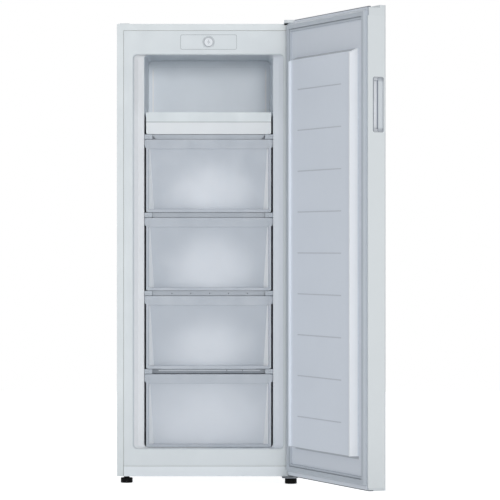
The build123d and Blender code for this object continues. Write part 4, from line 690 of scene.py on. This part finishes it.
# painted shadow line along the joint round the control panel
bm = bmesh.new()
(_, panel_y, panel_low_z), (panel_half_x, _, panel_high_z) = corners("control_fascia")
panel_half_z = (panel_high_z - panel_low_z) / 2
joint_y, inside, outside = 0.15, 0.525, 0.625
band(
    bm,
    rounded_loop(panel_half_x - inside, panel_half_z - inside, 5.4),
    rounded_loop(panel_half_x + outside, panel_half_z + outside, 6.5),
    lambda u, v, lift: (u, joint_y - lift, KNOB_Z + v),
)
make_piece("control_panel_joint_shadow", bm, joint_shadow_look, "cabinet")

# dark wedge under the hinge cover, on the cabinet's front edge: painted shade standing in for the hollow there
bm = bmesh.new()
wedge = ((229.6, 1393.4), (229.6, 1388.6), (237.5, 1389.8), (246.5, 1393.2))
wedge_front, wedge_back = -2.6, 0.4
prism(bm, wedge, wedge_front, wedge_back)
make_piece("hinge_cover_shadow_wedge", bm, looks["black_plastic"], "cabinet")

# scale of the knob: an arc with an end mark on each side
bm = bmesh.new()
scale_back = panel_y - 0.05
arc_inside, arc_outside, mark_outside, mark_half_width = 17.6, 18.1, 21.6, 0.5
lowest_turn, highest_turn = [int(turn) for turn in joints["knob_turn"]["range_deg"]]
turns = [math.radians(90 + turn) for turn in range(lowest_turn, highest_turn + 1, 5)]
band(
    bm,
    arc(arc_inside, turns),
    arc(arc_outside, turns),
    lambda u, v, lift: (u, scale_back - lift, KNOB_Z + v),
    closed=False,
)
for turn in (turns[0], turns[-1]):
    mark = []
    for radius, side in ((arc_outside, -1), (arc_outside, 1), (mark_outside, 1), (mark_outside, -1)):
        mark.append((
            radius * math.cos(turn) - side * mark_half_width * math.sin(turn),
            KNOB_Z + radius * math.sin(turn) + side * mark_half_width * math.cos(turn),
        ))
    prism(bm, mark, scale_back - THICKNESS, scale_back, backed=False)
make_piece("knob_scale", bm, mark_look, "cabinet")

# pointer on the knob
bm = bmesh.new()
knob_y = corners("temperature_knob")[0][1]
half_width, below, above = 0.5, 6.2, 7.4
soft_block(
    bm,
    (-half_width, knob_y - 0.15, KNOB_Z - below),
    (half_width, knob_y + 0.3, KNOB_Z + above),
    0.2,
)
make_piece("knob_pointer", bm, mark_look, "knob")

# undersides of the four drawers and of the tray, from the bottom up
levels = [LOWEST_LEVEL + LEVEL_STEP * step for step in range(len(DRAWERS) + 1)]
trim_end, trim_back, _ = corners("slotted_shelf_trim")[1]
# end stops of the shelf rails, each with a tip that stands a little further forward
stop_across, stop_depth = (trim_end + 0.4, FRONT_HALF_X + 5.6), (FRONT_Y + 2.0, FRONT_Y + 7.0)
tip_across, tip_depth = (182.0, FRONT_HALF_X + 5.1), (FRONT_Y + 0.6, FRONT_Y + 3.0)
# strips behind the front edges of the shelves, in dark grey that is partly painted shade of the gaps; the dark
# plate behind the slots takes the middle of the second one
strip_end, strip_gap_end = trim_end + 6.5, 160.0
strip_front, strip_back = trim_back + 0.7, trim_back + 2.7
whole_strip = ((-strip_end, strip_end),)
split_strip = ((-strip_end, -strip_gap_end), (strip_gap_end, strip_end))
# two clips in the lowest gap
clip_lefts, clip_width = (54.0, 102.2), 2.4
clip_front, clip_back = trim_back - 1.3, trim_back + 1.3
# the gaps under the tray and between the drawers, also from the bottom up
for number, upper in enumerate(levels[1:], start=1):
    bm = bmesh.new()
    soft_pair(bm, stop_across, stop_depth, height=(upper - 15.9, upper - 0.9), radius=1.2)
    soft_pair(bm, tip_across, tip_depth, height=(upper - 14.2, upper - 8.2), radius=0.8)
    make_piece("rail_stops_%d" % number, bm, trim_look, "cabinet")
    bm = bmesh.new()
    for left, right in split_strip if number == 2 else whole_strip:
        low, high = (left, strip_front, upper - 15.2), (right, strip_back, upper - 1.4)
        soft_block(bm, low, high, radius=0.6)
    for left in clip_lefts if number == 1 else ():
        low, high = (left, clip_front, upper - 14.6), (left + clip_width, clip_back, upper - 2.0)
        soft_block(bm, low, high, radius=0.4)
    make_piece("shelf_edge_%d" % number, bm, shaded_edge_look, "cabinet")

# dark plate behind the slots of the third shelf's strip, counted from the top: painted shade seen through the
# slots
bm = bmesh.new()
plate_left, plate_right, plate_thickness = -127.0, 129.0, 1.8
soft_block(
    bm,
    (plate_left, strip_front, levels[2] - 15.0),
    (plate_right, strip_front + plate_thickness, levels[2] - 1.6),
    radius=0.5,
)
make_piece("slot_shadow_backing", bm, joint_shadow_look, "cabinet")

# ears on the top corners of each drawer front, each with a narrower root
ear_across, ear_depth = (FRONT_HALF_X - 0.3, FRONT_HALF_X + 5.0), (FRONT_Y + 1.2, FRONT_Y + 13.0)
root_across, root_depth = (FRONT_HALF_X - 0.3, FRONT_HALF_X + 4.1), (FRONT_Y + 2.4, FRONT_Y + 11.0)
for number in DRAWERS:
    top = levels[len(DRAWERS) - number] + FRONT_HEIGHT
    bm = bmesh.new()
    soft_pair(bm, ear_across, ear_depth, height=(top - 20.5, top - 0.4), radius=1.0)
    soft_pair(bm, root_across, root_depth, height=(top - 24.5, top - 19.5), radius=0.8)
    make_piece(
        "drawer_%d_ears" % number, bm, trim_look, "drawer_%d" % number
    )

swing = Matrix.Rotation(OPEN_ANGLE, 4, "Z")


def on_door(x, y, z):
    """A point given on the closed door, swung open with it."""
    turned = swing @ Vector((x - HINGE_X, y - HINGE_Y, z))
    return (turned.x + HINGE_X, turned.y + HINGE_Y, turned.z)


# painted shadow line along the joint round the handle cup, on the door's free edge
bm = bmesh.new()
door_edge_x = corners("outer_casing")[0][0] + 0.05
grip_y, grip_half_y, grip_half_z = -41.15, 15.85, (GRIP_HIGH_Z - GRIP_LOW_Z) / 2
inside, outside = 0.15, 1.15
band(
    bm,
    rounded_loop(grip_half_y - inside, grip_half_z - inside, 4.0),
    rounded_loop(grip_half_y + outside, grip_half_z + outside, 5.2),
    lambda u, v, lift: on_door(door_edge_x - lift, grip_y + u, GRIP_Z + v),
)
make_piece("handle_joint_shadow", bm, joint_shadow_look, "door")


# ---- floor and background ----------------------------------------------------------------------
def seen_or_mirrored(tree):
    """1 for rays of the camera, of gloss and of glass, and 0 for the light that falls on things."""
    rays = tree.nodes.new("ShaderNodeLightPath")
    total = rays.outputs["Is Camera Ray"]
    for kind in ("Is Glossy Ray", "Is Transmission Ray"):
        either = tree.nodes.new("ShaderNodeMath")
        either.operation = "MAXIMUM"
        tree.links.new(total, either.inputs[0])
        tree.links.new(rays.outputs[kind], either.inputs[1])
        total = either.outputs["Value"]
    return total


def strength_for(tree, lighting, seen):
    """One strength for the light that falls on things, and one for what is seen or mirrored."""
    level = tree.nodes.new("ShaderNodeMapRange")
    level.inputs["To Min"].default_value = lighting
    level.inputs["To Max"].default_value = seen
    tree.links.new(seen_or_mirrored(tree), level.inputs["Value"])
    return level.outputs["Result"]


def plain_floor():
    """A pale floor that looks white where light falls on it, and keeps the object's shadow."""
    material = bpy.data.materials.new("floor")
    material.use_nodes = True
    tree = material.node_tree
    tree.nodes.remove(tree.nodes["Principled BSDF"])
    matt = tree.nodes.new("ShaderNodeBsdfDiffuse")
    matt.inputs["Color"].default_value = (0.7, 0.7, 0.7, 1)
    lift = tree.nodes.new("ShaderNodeEmission")
    tree.links.new(strength_for(tree, lighting=0.26, seen=0.84), lift.inputs["Strength"])
    both = tree.nodes.new("ShaderNodeAddShader")
    tree.links.new(matt.outputs["BSDF"], both.inputs[0])
    tree.links.new(lift.outputs["Emission"], both.inputs[1])
    tree.links.new(both.outputs["Shader"], tree.nodes["Material Output"].inputs["Surface"])
    return material


# just under the feet; it is small enough for the low lamps' lowest rays to pass beyond its edge
bpy.ops.mesh.primitive_plane_add(size=10, location=(0, 0, -0.0005))
floor = bpy.context.object
floor.name = "floor"
floor.data.materials.append(plain_floor())

world = bpy.data.worlds.new("studio")
scene.world = world
world.use_nodes = True
sky = world.node_tree
back = sky.nodes["Background"]
tone = sky.nodes.new("ShaderNodeMix")
tone.data_type = "RGBA"
tone.inputs[6].default_value = (0.93, 0.965, 1.0, 1)
tone.inputs[7].default_value = (1, 1, 1, 1)
sky.links.new(seen_or_mirrored(sky), tone.inputs[0])
sky.links.new(tone.outputs[2], back.inputs["Color"])
sky.links.new(strength_for(sky, lighting=0.38, seen=1.0), back.inputs["Strength"])


# ---- lamps -------------------------------------------------------------------------------------
def soft_sun(name, azimuth, elevation, strength, spread):
    """Wide, even light; its azimuth runs from the front towards the right. Angles in degrees."""
    lamp = bpy.data.lights.new(name, "SUN")
    lamp.energy = strength
    lamp.angle = math.radians(spread)
    holder = bpy.data.objects.new(name, lamp)
    scene.collection.objects.link(holder)
    around, up = math.radians(azimuth), math.radians(elevation)
    towards = Vector((
        math.cos(up) * math.sin(around),
        -math.cos(up) * math.cos(around),
        math.sin(up),
    ))
    holder.rotation_euler = towards.to_track_quat("Z", "Y").to_euler()


soft_sun("front", azimuth=3, elevation=2, strength=0.7, spread=10)
soft_sun("right", azimuth=22, elevation=5, strength=0.44, spread=30)
soft_sun("left", azimuth=-44, elevation=12, strength=0.34, spread=60)
soft_sun("back", azimuth=190, elevation=25, strength=1.2, spread=60)

# ---- camera ------------------------------------------------------------------------------------
# fitted to the photograph: a level view with its centre off the middle of the frame
image_px = 500.0
lens_px = 2627.0
centre_px = (224.4, 246.0)
eye = bpy.data.cameras.new("camera")
eye.sensor_width = 36.0
eye.lens = lens_px / image_px * eye.sensor_width
eye.shift_x = (image_px / 2 - centre_px[0]) / image_px
eye.shift_y = (centre_px[1] - image_px / 2) / image_px
eye.clip_end = 60
camera = bpy.data.objects.new("camera", eye)
scene.collection.objects.link(camera)
camera.location = (0.048, -7.954, 0.72)
camera.rotation_euler = (math.radians(90), 0, 0)
scene.camera = camera
scene.view_settings.view_transform = "Standard"
